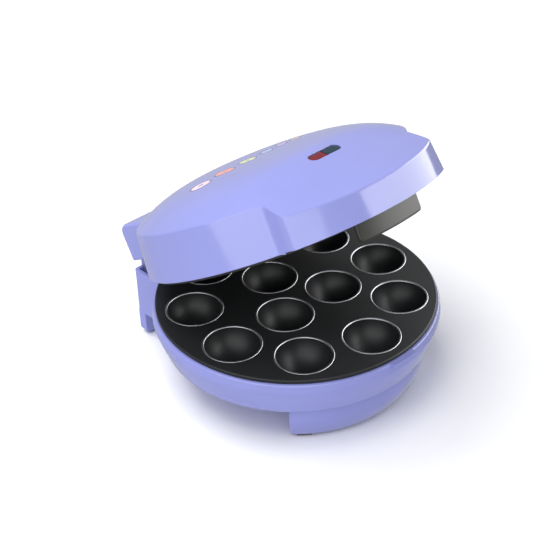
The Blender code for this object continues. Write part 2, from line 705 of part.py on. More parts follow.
def window_tool():
    gap = 2 * FIT_GAP
    halves = [half_capsule(side, LENS_LENGTH + gap, LENS_WIDTH + gap, 0) for side in (1, -1)]
    outline = halves[0][1:-1] + [(x, y) for x, y in reversed(halves[1][1:-1])]
    tool = stack_rings("window", [[(x, y, z) for x, y in outline] for z in (-12 * MM, 6 * MM)])
    tool.data.transform(lens_frame())
    return tool


def holder_level():
    """Top of the lamp holder below the lid's surface, along the visor's normal."""
    return -(LENS_DEPTH + LENS_RECESS + FIT_GAP)


def make_lamp_holder():
    """A tray behind the window with a pocket for each lamp."""
    top = holder_level()
    half_length = LENS_LENGTH / 2 + HOLDER_WALL
    half_width = LENS_WIDTH / 2 + HOLDER_WALL
    tray = block("lamp_holder", (-half_length, -half_width, top - HOLDER_DEPTH),
                 (half_length, half_width, top))
    pockets = []
    for side in (-1, 1):
        ends = sorted((side * HOLDER_WALL / 2, side * (half_length - HOLDER_WALL)))
        pockets.append(block("pocket", (ends[0], HOLDER_WALL - half_width, top - HOLDER_DEPTH + HOLDER_WALL),
                             (ends[1], half_width - HOLDER_WALL, top + MM)))
    cut(tray, [merge("pockets", pockets)])
    tray.data.transform(lens_frame())
    return tray


def make_lamp(name, side):
    """A small neon lamp, lying across the lid with rounded ends."""
    middle = side * (LENS_LENGTH / 4 + HOLDER_WALL / 4)
    half = LAMP_LENGTH / 2
    profile = ((0, -half), (LAMP_RADIUS * 0.7, LAMP_RADIUS * 0.3 - half), (LAMP_RADIUS, LAMP_RADIUS - half),
               (LAMP_RADIUS, half - LAMP_RADIUS), (LAMP_RADIUS * 0.7, half - LAMP_RADIUS * 0.3), (0, half))
    lamp = turn(name, profile, 10)
    level = holder_level() - HOLDER_DEPTH + HOLDER_WALL + LAMP_RADIUS + FIT_GAP
    lie_down = Matrix.Rotation(math.pi / 2, 4, "Y")
    lamp.data.transform(lens_frame() @ Matrix.Translation((middle, 0, level)) @ lie_down)
    return lamp


def make_lid_shell():
    shell = lid_solid("lid_shell", 0, LID_RIM_Z)
    outside = lid_solid("outside", 0.2 * MM, LID_RIM_Z - 20 * MM, with_grip=False)
    cover = extrude_side("cover", hinge_cover_outline(0, HINGE_COVER_LOW),
                         -HINGE_COVER_HALF_WIDTH, HINGE_COVER_HALF_WIDTH)
    join(shell, [cover])

    hollow = lid_solid("hollow", LID_WALL, LID_RIM_Z - 8 * MM, with_grip=False)
    boss_low = PLATE_GAP + SHIELD_OFFSET + SHIELD_THICKNESS + FIT_GAP
    bosses = [column("boss", place, BOSS_RADIUS, boss_low, LID_EDGE_Z + 2 * LID_CROWN)
              for place in fixing_places()]
    cut(hollow, [merge("bosses", bosses)])

    pocket = pocket_hollow()
    lug_bottom = LATCH_PIVOT_Z - KNUCKLE_RADIUS
    lug_start = KNUCKLE_OUTER + RUN_GAP
    lugs = []
    for side in (-1, 1):
        ends = sorted((side * lug_start, side * (lug_start + LATCH_LUG_THICKNESS)))
        lugs.append(block("lug", (ends[0], -GRIP_RIM_RADIUS - 5 * MM, lug_bottom),
                          (ends[1], -LID_TOP_RADIUS + 8 * MM, LID_EDGE_Z + 15 * MM)))
    cut(pocket, lugs)

    inner_half = HINGE_COVER_HALF_WIDTH - LID_WALL
    cover_hollow = extrude_side("cover_hollow", hinge_cover_outline(LID_WALL, -5 * MM),
                                -inner_half, inner_half)
    hinge_blocks = []
    beyond = HINGE_COVER_HALF_WIDTH + 5 * MM
    for x_low, x_high in ((LUG_INNER, EAR_INNER - RUN_GAP), (EAR_OUTER + RUN_GAP, beyond)):
        for side in (-1, 1):
            ends = sorted((side * x_low, side * x_high))
            reach = EAR_RADIUS
            hinge_blocks.append(block("hinge_block", (ends[0], HINGE_Y - reach, HINGE_Z - reach),
                                      (ends[1], HINGE_COVER_REAR + 5 * MM, HINGE_COVER_TOP + 5 * MM)))
    cut(cover_hollow, [outside] + hinge_blocks)
    cut(shell, [hollow, pocket, cover_hollow])

    grip_angles = GRIP_END_ANGLE - 3
    under_grip = arc_block("under_grip", [(FRONT_WALL_RADIUS, GRIP_RIM_RADIUS + 20 * MM, -10 * MM),
                                          (FRONT_WALL_RADIUS, GRIP_RIM_RADIUS + 20 * MM, GRIP_LOW_Z)],
                           -grip_angles, grip_angles, 16)
    notches = []
    for side in (-1, 1):
        ends = sorted((side * (EAR_INNER - RUN_GAP), side * (EAR_OUTER + RUN_GAP)))
        notches.append(block("notch", (ends[0], HINGE_Y, -5 * MM),
                             (ends[1], HINGE_COVER_REAR + 5 * MM, HINGE_Z + EAR_RADIUS + EAR_SWING)))
    pin_room = PIN_OUTER - PIN_INNER + MM
    bores = [rod("bore", (x, HINGE_Y, HINGE_Z), pin_room, PIN_RADIUS + FIT_GAP, "X")
             for x in (-PIN_OUTER - 0.5 * MM, PIN_INNER - 0.5 * MM)]
    latch_bore_half = lug_start + LATCH_LUG_THICKNESS + 0.5 * MM
    bores.append(rod("bore", (-latch_bore_half, LATCH_PIVOT_Y, LATCH_PIVOT_Z), 2 * latch_bore_half,
                     LATCH_PIN_RADIUS + FIT_GAP, "X", 10))
    holes = [column("hole", place, SCREW_RADIUS + FIT_GAP, boss_low - MM, boss_low + 10 * MM)
             for place in fixing_places()]
    lead_window = block("lead_window",
                        (-WINDOW_HALF_WIDTH, LID_RIM_RADIUS - 12 * MM, HINGE_COVER_LOW + 3 * MM),
                        (WINDOW_HALF_WIDTH, LID_RIM_RADIUS + 2 * MM, HINGE_COVER_LOW + 12 * MM))
    return cut(shell, [under_grip, merge("notches", notches), merge("bores", bores),
                       merge("holes", holes), lead_window, window_tool()])


def make_latch():
    """A curved pull with a nib at its foot and a knuckle at each side of its top."""
    outer = LATCH_RADIUS + LATCH_THICKNESS
    wall_top = LATCH_PIVOT_Z
    levels = ((LATCH_LOW, -1.2 * MM, 3), (LATCH_LOW + 1.5 * MM, 0, 0.8), (LATCH_LOW + 4 * MM, 0, 0),
              (wall_top, 0, 0))
    rings = []
    for z, thin, narrow in levels:
        half = LATCH_HALF_ANGLE - narrow
        angles = [half * (i / 5 - 1) for i in range(11)]
        rings.append([polar(outer + thin, a, z) for a in angles]
                     + [polar(LATCH_RADIUS, a, z) for a in reversed(angles)])
    latch = stack_rings("latch", rings)
    nib_low = LATCH_LOW + 0.4 * MM
    nib = arc_block("nib", [(LATCH_RADIUS - NIB_REACH, outer - 2 * MM, nib_low),
                            (LATCH_RADIUS - NIB_REACH, outer - 2 * MM, nib_low + NIB_HEIGHT - MM),
                            (LATCH_RADIUS - NIB_REACH + MM, outer - 2 * MM, nib_low + NIB_HEIGHT)],
                    -NIB_HALF_ANGLE, NIB_HALF_ANGLE, 6)
    length = KNUCKLE_OUTER - KNUCKLE_INNER
    knuckles = [rod("knuckle", (x, LATCH_PIVOT_Y, LATCH_PIVOT_Z), length, KNUCKLE_RADIUS, "X")
                for x in (-KNUCKLE_OUTER, KNUCKLE_INNER)]
    join(latch, [nib] + knuckles)
    gap_half = KNUCKLE_INNER
    spring_room = block("spring_room", (-gap_half, LATCH_PIVOT_Y - 8 * MM, LATCH_PIVOT_Z - 2.6 * MM),
                        (gap_half, LATCH_PIVOT_Y + 5 * MM, LATCH_PIVOT_Z + 5 * MM))
    bore = rod("bore", (-KNUCKLE_OUTER - MM, LATCH_PIVOT_Y, LATCH_PIVOT_Z), 2 * (KNUCKLE_OUTER + MM),
               LATCH_PIN_RADIUS + FIT_GAP, "X", 10)
    return cut(latch, [spring_room, bore])


def make_latch_spring():
    """A torsion spring wound round the latch pin."""
    coil = LATCH_PIN_RADIUS + FIT_GAP + SPRING_WIRE
    steps = SPRING_TURNS * 10
    points = []
    for i in range(steps + 1):
        angle = 2 * math.pi * i / 10
        x = SPRING_LENGTH * (i / steps - 0.5)
        points.append((x, LATCH_PIVOT_Y + coil * math.cos(angle), LATCH_PIVOT_Z + coil * math.sin(angle)))
    return sweep("latch_spring", points, SPRING_WIRE, 0)


def make_thermostat():
    """A bimetal disc thermostat with two blades, standing on the upper plate's back."""
    place = polar(SENSOR_RING, 0)
    floor = PLATE_GAP + PLATE_THICKNESS + FIT_GAP
    top = floor + THERMOSTAT_HEIGHT
    profile = ((THERMOSTAT_RADIUS, floor), (THERMOSTAT_RADIUS, floor + 2 * MM),
               (THERMOSTAT_RADIUS * 0.8, floor + 2.2 * MM), (THERMOSTAT_RADIUS * 0.8, top))
    body = turn("thermostat", profile, 20, place[:2])
    blades = [block("blade", (place.x + x - 1.6 * MM, place.y - 0.3 * MM, top - MM),
                    (place.x + x + 1.6 * MM, place.y + 0.3 * MM, top + 5 * MM))
              for x in (-3.4 * MM, 3.4 * MM)]
    return join(body, blades)


def fuse_middle():
    floor = PLATE_GAP + PLATE_THICKNESS + FIT_GAP
    return polar(SENSOR_RING, 120, floor + FUSE_RADIUS)


def make_fuse():
    middle = fuse_middle()
    return rod("thermal_fuse", (middle.x - FUSE_LENGTH / 2, middle.y, middle.z),
               FUSE_LENGTH, FUSE_RADIUS, "X", 12)


def make_fuse_clip():
    """A bent strap over the fuse, with a foot each side."""
    middle = fuse_middle()
    floor = middle.z - FUSE_RADIUS
    inner = FUSE_RADIUS + FIT_GAP
    outer = inner + 0.8 * MM
    arch = [(middle.y + outer * math.cos(math.pi * i / 8), middle.z + outer * math.sin(math.pi * i / 8))
            for i in range(9)]
    under = [(middle.y - inner * math.cos(math.pi * i / 8), middle.z + inner * math.sin(math.pi * i / 8))
             for i in range(9)]
    foot = 3 * MM
    thick = 0.8 * MM
    outline = ([(middle.y + outer + foot, floor), (middle.y + outer + foot, floor + thick),
                (middle.y + outer, floor + thick)] + arch
               + [(middle.y - outer, floor + thick), (middle.y - outer - foot, floor + thick),
                  (middle.y - outer - foot, floor), (middle.y - inner, floor)]
               + under + [(middle.y + inner, floor)])
    return extrude_side("fuse_clip", outline, middle.x - 3 * MM, middle.x + 3 * MM)


# Assembly.

def centre_on_bench(frame):
    """Moves the base so that the middle of the whole footprint, lid open, is at x = y = 0."""
    bpy.context.view_layer.update()
    graph = bpy.context.evaluated_depsgraph_get()
    ys = []
    for piece in bpy.data.objects:
        if piece.type in {"MESH", "CURVE"}:
            solid = piece.evaluated_get(graph).to_mesh()
            ys += [(piece.matrix_world @ vertex.co).y for vertex in solid.vertices]
    frame.location.y = -(min(ys) + max(ys)) / 2
    frame.location.z = STAND_HEIGHT


def build():
    for piece in list(bpy.data.objects):
        bpy.data.objects.remove(piece)
    lavender = add_material("lavender_plastic", (0.36, 0.37, 0.78), 0.28)
    coating = add_material("nonstick_coating", (0.025, 0.027, 0.027), 0.42, 0.2)
    steel = add_material("plated_steel", (0.6, 0.6, 0.61), 0.3, 1.0)
    sheet = add_material("aluminium_sheet", (0.75, 0.76, 0.77), 0.35, 1.0)
    tube = add_material("heater_sheath", (0.32, 0.31, 0.3), 0.45, 1.0)
    ceramic = add_material("steatite", (0.85, 0.83, 0.78), 0.6)
    black = add_material("black_plastic", (0.03, 0.03, 0.028), 0.45)
    rubber = add_material("rubber", (0.05, 0.05, 0.055), 0.8)
    nylon = add_material("natural_nylon", (0.8, 0.79, 0.74), 0.5)
    red = add_material("red_lens", (0.35, 0.0, 0.02), 0.15)
    green = add_material("green_lens", (0.0, 0.07, 0.1), 0.15)
    glass = add_material("lamp_glass", (0.8, 0.7, 0.65), 0.1)

    base = add_frame("base_frame", (0, 0, 0))
    lid = add_frame("lid_hinge", (0, HINGE_Y, HINGE_Z), base)
    latch = add_frame("latch_pivot", (0, LATCH_PIVOT_Y, LATCH_PIVOT_Z), lid)

    finish(make_base_shell(), lavender, base)
    edge = PLATE_RADIUS
    skirt = RIM_RADIUS - RIM_LEDGE - FIT_GAP - 0.6 * MM
    finish(make_plate("lower_cooking_plate", edge, skirt, blind_holes()), coating, base)
    finish(make_shield("lower_heat_shield"), sheet, base)
    finish(sweep("lower_heater", heater_path(), HEATER_RADIUS), tube, base)
    for side, word in ((-1, "left"), (1, "right")):
        finish(make_terminal(f"lower_heater_terminal_{word}", side), ceramic, base)
        finish(rod(f"hinge_pin_{word}", (min(side * PIN_INNER, side * PIN_OUTER), HINGE_Y, HINGE_Z),
                   PIN_OUTER - PIN_INNER, PIN_RADIUS, "X"), steel, base)
        finish(make_front_pad(f"front_foot_pad_{word}", side), rubber, base)
        finish(make_rear_pad(f"rear_foot_pad_{word}", side), rubber, base)
    for number, place in enumerate(fixing_places(), 1):
        head = BOWL_FLOOR + 2 * FIT_GAP
        screw = make_screw(f"lower_plate_screw_{number}", place, head, head + HEAD_HEIGHT, -12 * MM)
        finish(screw, steel, base)
    finish(make_gland(), black, base)
    finish(make_terminal_block(), nylon, base)

    finish(make_lid_shell(), lavender, lid)
    upper = make_plate("upper_cooking_plate", edge - 0.9 * MM, skirt - 1.6 * MM, headed_holes())
    finish(turn_over(upper), coating, lid)
    finish(turn_over(make_shield("upper_heat_shield")), sheet, lid)
    finish(turn_over(sweep("upper_heater", heater_path(), HEATER_RADIUS)), tube, lid)
    for side, word in ((-1, "left"), (1, "right")):
        finish(turn_over(make_terminal(f"upper_heater_terminal_{word}", side)), ceramic, lid)
    for number, place in enumerate(fixing_places(), 1):
        head = PLATE_GAP + FIT_GAP
        tip = PLATE_GAP + SHIELD_OFFSET + SHIELD_THICKNESS + 9 * MM
        finish(make_screw(f"upper_plate_screw_{number}", place, head, head + HEAD_HEIGHT, tip), steel, lid)
    finish(make_thermostat(), ceramic, lid)
    finish(make_fuse(), steel, lid)
    finish(make_fuse_clip(), steel, lid)
    finish(make_lamp_holder(), nylon, lid)
    for side, word, lens in ((-1, "red", red), (1, "green", green)):
        finish(make_lens(f"{word}_lens", side), lens, lid)
        finish(make_lamp(f"{word}_lamp", side), glass, lid)
    pin_half = KNUCKLE_OUTER + RUN_GAP + LATCH_LUG_THICKNESS
    finish(rod("latch_pin", (-pin_half, LATCH_PIVOT_Y, LATCH_PIVOT_Z),
               2 * pin_half, LATCH_PIN_RADIUS, "X", 10), steel, lid)
    finish(make_latch_spring(), steel, lid)
    finish(make_latch(), black, latch)

    lid.rotation_euler.x = -LID_OPENING
    centre_on_bench(base)


build()
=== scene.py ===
# %% [markdown]
# # Twelve-ball donut maker
#
# The real machine is a small hinged press: two cast plates with twelve round cavities each, a
# moulded housing round each plate, and a dark latch under the grip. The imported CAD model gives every
# piece its place and its joint. This lesson builds the fine surfaces round that model, in metres.

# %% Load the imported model
import json
import math

import bmesh
import bpy
from mathutils import Matrix, Vector


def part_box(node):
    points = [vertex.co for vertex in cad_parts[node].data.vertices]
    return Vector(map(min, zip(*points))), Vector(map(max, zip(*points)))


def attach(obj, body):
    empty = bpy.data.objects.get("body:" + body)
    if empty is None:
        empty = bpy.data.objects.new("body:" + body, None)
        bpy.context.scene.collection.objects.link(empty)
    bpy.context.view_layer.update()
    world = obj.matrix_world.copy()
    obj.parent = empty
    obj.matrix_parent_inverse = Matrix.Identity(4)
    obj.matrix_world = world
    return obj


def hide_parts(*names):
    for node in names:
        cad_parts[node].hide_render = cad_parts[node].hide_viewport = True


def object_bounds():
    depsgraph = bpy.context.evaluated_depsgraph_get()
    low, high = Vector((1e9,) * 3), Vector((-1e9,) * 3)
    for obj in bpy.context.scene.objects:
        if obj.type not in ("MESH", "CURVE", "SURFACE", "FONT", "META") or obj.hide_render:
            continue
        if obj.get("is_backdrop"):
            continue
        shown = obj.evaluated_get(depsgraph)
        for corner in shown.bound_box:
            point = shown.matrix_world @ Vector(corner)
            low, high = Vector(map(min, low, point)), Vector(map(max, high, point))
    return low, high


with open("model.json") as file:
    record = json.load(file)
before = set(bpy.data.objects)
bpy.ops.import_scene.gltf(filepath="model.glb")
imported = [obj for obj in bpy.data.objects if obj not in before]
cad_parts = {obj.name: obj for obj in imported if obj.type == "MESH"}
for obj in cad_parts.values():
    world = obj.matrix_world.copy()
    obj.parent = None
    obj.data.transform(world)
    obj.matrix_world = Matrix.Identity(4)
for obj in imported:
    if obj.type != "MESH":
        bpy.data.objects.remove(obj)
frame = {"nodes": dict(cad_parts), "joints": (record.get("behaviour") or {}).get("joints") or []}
cad_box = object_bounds()
nodes = frame["nodes"]
print("CAD nodes:", len(nodes), "box:", [tuple(round(c, 4) for c in corner) for corner in cad_box])

# %% [markdown]
# ## Two drawing frames
#
# Housing and plates are easiest to draw with the lid shut and the origin in the middle of the lower
# cooking face. The base only has to be slid to its place. The lid is also turned about the hinge by
# as much as it stands open at rest, which is how far the joint can turn back before it is shut.

# %% Find the plate's middle and the hinge
MM = 0.001
plate_low, plate_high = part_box("lower_cooking_plate")
plate_middle = Vector(((plate_low.x + plate_high.x) / 2, (plate_low.y + plate_high.y) / 2, plate_high.z))
joints = {joint["name"]: joint for joint in frame["joints"]}
hinge_pivot = Vector(joints["lid_hinge"]["pos_m"])
hinge_axis = Vector(joints["lid_hinge"]["axis"])
lid_opening = -math.radians(joints["lid_hinge"]["range_deg"][0])
base_place = Matrix.Translation(plate_middle)
lid_place = (Matrix.Translation(hinge_pivot) @ Matrix.Rotation(lid_opening, 4, hinge_axis)
             @ Matrix.Translation(plate_middle - hinge_pivot))
HINGE_Y, HINGE_Z = (hinge_pivot - plate_middle).yz
latch_pivot = lid_place.inverted() @ Vector(joints["latch_pivot"]["pos_m"])
print("plate middle", tuple(plate_middle), "lid open by", round(math.degrees(lid_opening), 1), "degrees")

# %% [markdown]
# ## Camera
#
# A table-top appliance is best seen from a little under a metre through a long lens, so that near and
# far edges keep their proportions. The camera is placed by its direction from the plate's middle, its
# distance, a small roll, and how far it is slid sideways and up from looking straight at that middle.
# This is easier to read than a matrix and needs no lens shift.

# %% Place the camera
CAMERA_AZIMUTH = math.radians(-42.746)
CAMERA_ELEVATION = math.radians(34.546)
CAMERA_ROLL = math.radians(-1.7753)
CAMERA_DISTANCE = 934.24 * MM
CAMERA_SLIDE_RIGHT = -11.116 * MM
CAMERA_SLIDE_UP = 8.630 * MM
LENS = 84.52

back = Vector((math.sin(CAMERA_AZIMUTH) * math.cos(CAMERA_ELEVATION),
               -math.cos(CAMERA_AZIMUTH) * math.cos(CAMERA_ELEVATION), math.sin(CAMERA_ELEVATION)))
level_right = Vector((math.cos(CAMERA_AZIMUTH), math.sin(CAMERA_AZIMUTH), 0))
roll = Matrix.Rotation(CAMERA_ROLL, 3, back)
right = roll @ level_right
up = roll @ back.cross(level_right)
spot = plate_middle + back * CAMERA_DISTANCE + right * CAMERA_SLIDE_RIGHT + up * CAMERA_SLIDE_UP
camera = bpy.data.objects.new("camera", bpy.data.cameras.new("camera"))
camera.data.lens = LENS
camera.data.clip_end = 20
camera.matrix_world = Matrix.Translation(spot) @ Matrix((right, up, back)).transposed().to_4x4()
bpy.context.scene.collection.objects.link(camera)
bpy.context.scene.camera = camera
print("camera at", tuple(round(c, 3) for c in spot))

# %% [markdown]
# ## Soft studio light
#
# Glossy plastic shows its surroundings, so a studio lights it and gives it something to mirror. A pale
# tent (the world) does a little of both. Two soft panels only light, and two are only mirrored, so that
# how bright the plastic is and where its reflections lie can be set one without the other. A panel is
# an area light, and its power is worked out from its size and from how bright it should look.

# %% Light the tent and the panels
world = bpy.data.worlds.new("tent")
world.use_nodes = True
tent = world.node_tree.nodes["Background"]
tent.inputs["Color"].default_value = (0.98, 0.99, 1.0, 1)
tent.inputs["Strength"].default_value = 0.52
bpy.context.scene.world = world
bpy.context.scene.view_settings.view_transform = "Standard"


def direction(azimuth, elevation):
    """Degrees from the front, -Y, positive towards +X, and up from level."""
    a, e = math.radians(azimuth), math.radians(elevation)
    return Vector((math.sin(a) * math.cos(e), -math.cos(a) * math.cos(e), math.sin(e)))


def add_panel(name, azimuth, elevation, distance, width, height, brightness):
    """A soft panel of a size in metres that faces the plate's middle, seen from there in a direction."""
    light = bpy.data.lights.new(name, "AREA")
    light.shape = "RECTANGLE"
    light.size = width
    light.size_y = height
    light.energy = math.pi * width * height * brightness
    toward = direction(azimuth, elevation)
    panel = bpy.data.objects.new(name, light)
    panel.matrix_world = (Matrix.Translation(plate_middle + toward * distance)
                          @ (-toward).to_track_quat("-Z", "Y").to_matrix().to_4x4())
    bpy.context.scene.collection.objects.link(panel)
    return panel


# The two fills only light: mirrored, the upper one would bleach the dome.
for fill in (add_panel("fill_above", -125, 72, 1.5, 1.8, 1.0, 4.3),
             add_panel("fill_front_left", -60, 28, 1.35, 2.2, 1.3, 0.5)):
    fill.visible_glossy = False
# The two others are only mirrored: they draw the bright left of the lid's wall, up to a sharp edge,
# and the bright right side of the grip.
for mirrored in (add_panel("mirrored_left", -64, 30, 1.35, 2.2, 1.3, 2.1),
                 add_panel("mirrored_right", 66, 22, 1.1, 1.9, 0.9, 4.8)):
    mirrored.visible_diffuse = False
print("panels:", [light.name for light in bpy.data.lights])

# %% [markdown]
# ## Floor
#
# A plain pale table. It is a matt painted board, so it has almost no gloss and only a very fine
# unevenness. It is marked as stage, because it isn't part of the appliance.

# %% Colour and node helpers
def linear(code):
    """A hex colour as seen on a screen (sRGB), as linear red, green, blue and alpha."""
    shades = [int(code[i:i + 2], 16) / 255 for i in (1, 3, 5)]
    return (*[s / 12.92 if s <= 0.04045 else ((s + 0.055) / 1.055) ** 2.4 for s in shades], 1.0)


def add_node(material, kind, inputs=None, **settings):
    """Adds a node; each input gets a value or another node's output."""
    node = material.node_tree.nodes.new(kind)
    for name, value in settings.items():
        setattr(node, name, value)
    for name, value in (inputs or {}).items():
        if isinstance(value, bpy.types.NodeSocket):
            material.node_tree.links.new(value, node.inputs[name])
        else:
            node.inputs[name].default_value = value
    return node


def start_material(name, constants=None):
    """A material with a shader, the values that are the same all over, and the piece's coordinates."""
    material = bpy.data.materials.new(name)
    material.use_nodes = True
    material.node_tree.nodes.clear()
    shader = add_node(material, "ShaderNodeBsdfPrincipled", constants)
    add_node(material, "ShaderNodeOutputMaterial", {"Surface": shader.outputs["BSDF"]})
    spot = add_node(material, "ShaderNodeTexCoord").outputs["Object"]
    return material, shader, spot


def connect(material, output, socket):
    material.node_tree.links.new(output, socket)


# %% Floor
floor_paint, shader, spot = start_material("matt_painted_board", {"Roughness": 0.9,
                                                                  "Specular IOR Level": 0.2})
grain = add_node(floor_paint, "ShaderNodeTexNoise", {"Vector": spot, "Scale": 1 / (30 * MM), "Detail": 4.0})
shade = add_node(floor_paint, "ShaderNodeValToRGB", {"Fac": grain.outputs["Fac"]})
shade.color_ramp.elements[0].color = linear("#F6F6F7")
shade.color_ramp.elements[1].color = linear("#FBFBFC")
connect(floor_paint, shade.outputs["Color"], shader.inputs["Base Color"])

FLOOR_HALF = 3.0
board = bmesh.new()
bmesh.ops.create_grid(board, x_segments=2, y_segments=2, size=FLOOR_HALF)
floor_mesh = bpy.data.meshes.new("floor")
board.to_mesh(floor_mesh)
board.free()
floor = bpy.data.objects.new("floor", floor_mesh)
floor.data.materials.append(floor_paint)
bpy.context.scene.collection.objects.link(floor)
floor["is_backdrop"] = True
# Mirrored, the white board would bleach the dome, which the eye sees at a slant.
floor.visible_glossy = False
print("floor", FLOOR_HALF * 2, "m square")

# %% [markdown]
# ## Housing plastic: moulded ABS
#
# Lid and base are injection-moulded ABS, coloured right through and polished in the mould. ABS has an
# IOR near 1.54. A polished mould gives a clear gloss that is a little uneven, because the skin sinks
# slightly as it cools: the reflections of straight edges wander a little over some centimetres.
# So the roughness and a very low bump change slowly, and the colour hardly at all.

# %% Lavender ABS
lavender, shader, spot = start_material("lavender_abs_moulded", {"IOR": 1.54})
cloud = add_node(lavender, "ShaderNodeTexNoise", {"Vector": spot, "Scale": 1 / (45 * MM), "Detail": 2.0})
tint = add_node(lavender, "ShaderNodeValToRGB", {"Fac": cloud.outputs["Fac"]})
tint.color_ramp.elements[0].position = 0.3
tint.color_ramp.elements[0].color = linear("#8B90CF")
tint.color_ramp.elements[1].position = 0.7
tint.color_ramp.elements[1].color = linear("#8E93D3")
connect(lavender, tint.outputs["Color"], shader.inputs["Base Color"])
skin = add_node(lavender, "ShaderNodeTexNoise", {"Vector": spot, "Scale": 1 / (14 * MM), "Detail": 3.0})
gloss = add_node(lavender, "ShaderNodeMapRange", {"Value": skin.outputs["Fac"], "From Min": 0.3,
                                                   "From Max": 0.7, "To Min": 0.1, "To Max": 0.15})
connect(lavender, gloss.outputs["Result"], shader.inputs["Roughness"])
sink = add_node(lavender, "ShaderNodeBump", {"Height": skin.outputs["Fac"], "Strength": 0.06,
                                              "Distance": 0.4 * MM})
connect(lavender, sink.outputs["Normal"], shader.inputs["Normal"])
print("made", lavender.name)

# %% [markdown]
# ## Cooking plates: sprayed non-stick coating on cast aluminium
#
# The coating is a dark grey PTFE paint sprayed on and baked. The spray leaves a fine pebbled skin with
# a satin look, so the bump is a small noise. Its real grain is about 0.15 mm, too fine to show, and is
# drawn at 0.6 mm. Round each cavity's mouth a bright metal colour is painted on as a highlight.

# %% Non-stick coating
coating, shader, spot = start_material("ptfe_sprayed_coating", {"IOR": 1.4})
pebble = add_node(coating, "ShaderNodeTexNoise", {"Vector": spot, "Scale": 1 / (0.6 * MM), "Detail": 2.0})
patch = add_node(coating, "ShaderNodeTexNoise", {"Vector": spot, "Scale": 1 / (25 * MM), "Detail": 3.0})
shade = add_node(coating, "ShaderNodeValToRGB", {"Fac": patch.outputs["Fac"]})
shade.color_ramp.elements[0].color = linear("#1C1D1E")
shade.color_ramp.elements[1].color = linear("#242628")
connect(coating, shade.outputs["Color"], shader.inputs["Base Color"])
gloss = add_node(coating, "ShaderNodeMapRange", {"Value": patch.outputs["Fac"],
                                                  "To Min": 0.36, "To Max": 0.48})
connect(coating, gloss.outputs["Result"], shader.inputs["Roughness"])
skin = add_node(coating, "ShaderNodeBump", {"Height": pebble.outputs["Fac"], "Strength": 0.12,
                                             "Distance": 0.1 * MM})
connect(coating, skin.outputs["Normal"], shader.inputs["Normal"])
print("made", coating.name)

# %% Painted highlight: bright metal round the mouths of the cavities
# This bright metal colour round each mouth is a painted highlight, its tone mottled at random.
mouth_highlight, shader, spot = start_material("aluminium_painted_highlight", {"Metallic": 1.0})
highlight_mottle = add_node(mouth_highlight, "ShaderNodeTexNoise", {"Vector": spot, "Scale": 1 / (5 * MM), "Detail": 3.0})
shade = add_node(mouth_highlight, "ShaderNodeValToRGB", {"Fac": highlight_mottle.outputs["Fac"]})
shade.color_ramp.elements[0].color = linear("#9A9CA0")
shade.color_ramp.elements[1].color = linear("#C8CACE")
connect(mouth_highlight, shade.outputs["Color"], shader.inputs["Base Color"])
gloss = add_node(mouth_highlight, "ShaderNodeMapRange", {"Value": highlight_mottle.outputs["Fac"],
                                                   "To Min": 0.34, "To Max": 0.5})
connect(mouth_highlight, gloss.outputs["Result"], shader.inputs["Roughness"])
print("made", mouth_highlight.name)

# %% [markdown]
# ## Latch: black phenolic moulding
#
# The pull gets warm, so it is a phenolic or a filled black nylon. It comes from a spark-eroded mould
# with a fine satin grain, about 0.3 mm across, drawn at 0.7 mm. The satin spreads the panels' light into
# broad grey sheens. Phenolic has an IOR near 1.6. It is lowered to 1.46 here, because the pull's matt
# skin looks darker than a polished one.

# %% Black satin plastic
black_satin, shader, spot = start_material("black_phenolic_moulded", {"Roughness": 0.38, "IOR": 1.46})
grain = add_node(black_satin, "ShaderNodeTexNoise", {"Vector": spot, "Scale": 1 / (0.7 * MM), "Detail": 2.0})
shade = add_node(black_satin, "ShaderNodeValToRGB", {"Fac": grain.outputs["Fac"]})
shade.color_ramp.elements[0].color = linear("#22231D")
shade.color_ramp.elements[1].color = linear("#2C2D26")
connect(black_satin, shade.outputs["Color"], shader.inputs["Base Color"])
skin = add_node(black_satin, "ShaderNodeBump", {"Height": grain.outputs["Fac"], "Strength": 0.15,
                                                 "Distance": 0.1 * MM})
connect(black_satin, skin.outputs["Normal"], shader.inputs["Normal"])
print("made", black_satin.name)

# %% [markdown]
# ## Plain solids in mesh code
#
# Housing, plates and latch are all made in the same few ways: rings of points stacked into a solid,
# a profile turned about an upright axis, and solids joined to or cut from each other. Stacked rings
# keep clean strips of quads that follow the shape, which a sculpted or remeshed surface wouldn't.

# %% Points and smooth curves
def polar(radius, degrees, z=0.0):
    """A point by its angle from the front, -Y, positive towards +X."""
    angle = math.radians(degrees)
    return Vector((radius * math.sin(angle), -radius * math.cos(angle), z))


def smooth_step(value):
    value = min(max(value, 0.0), 1.0)
    return value * value * (3 - 2 * value)


def rounded(outline, radii, steps=5):
    """A closed outline of (u, v) corners, each rounded with its own radius; 0 leaves it sharp."""
    points = []
    for i, (corner, radius) in enumerate(zip(outline, radii)):
        here = Vector(corner)
        if not radius:
            points.append(here)
            continue
        before = (Vector(outline[i - 1]) - here).normalized()
        after = (Vector(outline[(i + 1) % len(outline)]) - here).normalized()
        half = before.angle(after) / 2
        centre = here + (before + after).normalized() * radius / math.sin(half)
        start = here + before * radius / math.tan(half) - centre
        end = here + after * radius / math.tan(half) - centre
        for k in range(steps + 1):
            points.append(centre + start.slerp(end, k / steps).normalized() * radius)
    return points


# %% Solids
def new_piece(name, shape):
    """A bmesh as a named object with its faces pointing out."""
    bmesh.ops.recalc_face_normals(shape, faces=shape.faces)
    mesh = bpy.data.meshes.new(name)
    shape.to_mesh(mesh)
    shape.free()
    piece = bpy.data.objects.new(name, mesh)
    bpy.context.scene.collection.objects.link(piece)
    return piece


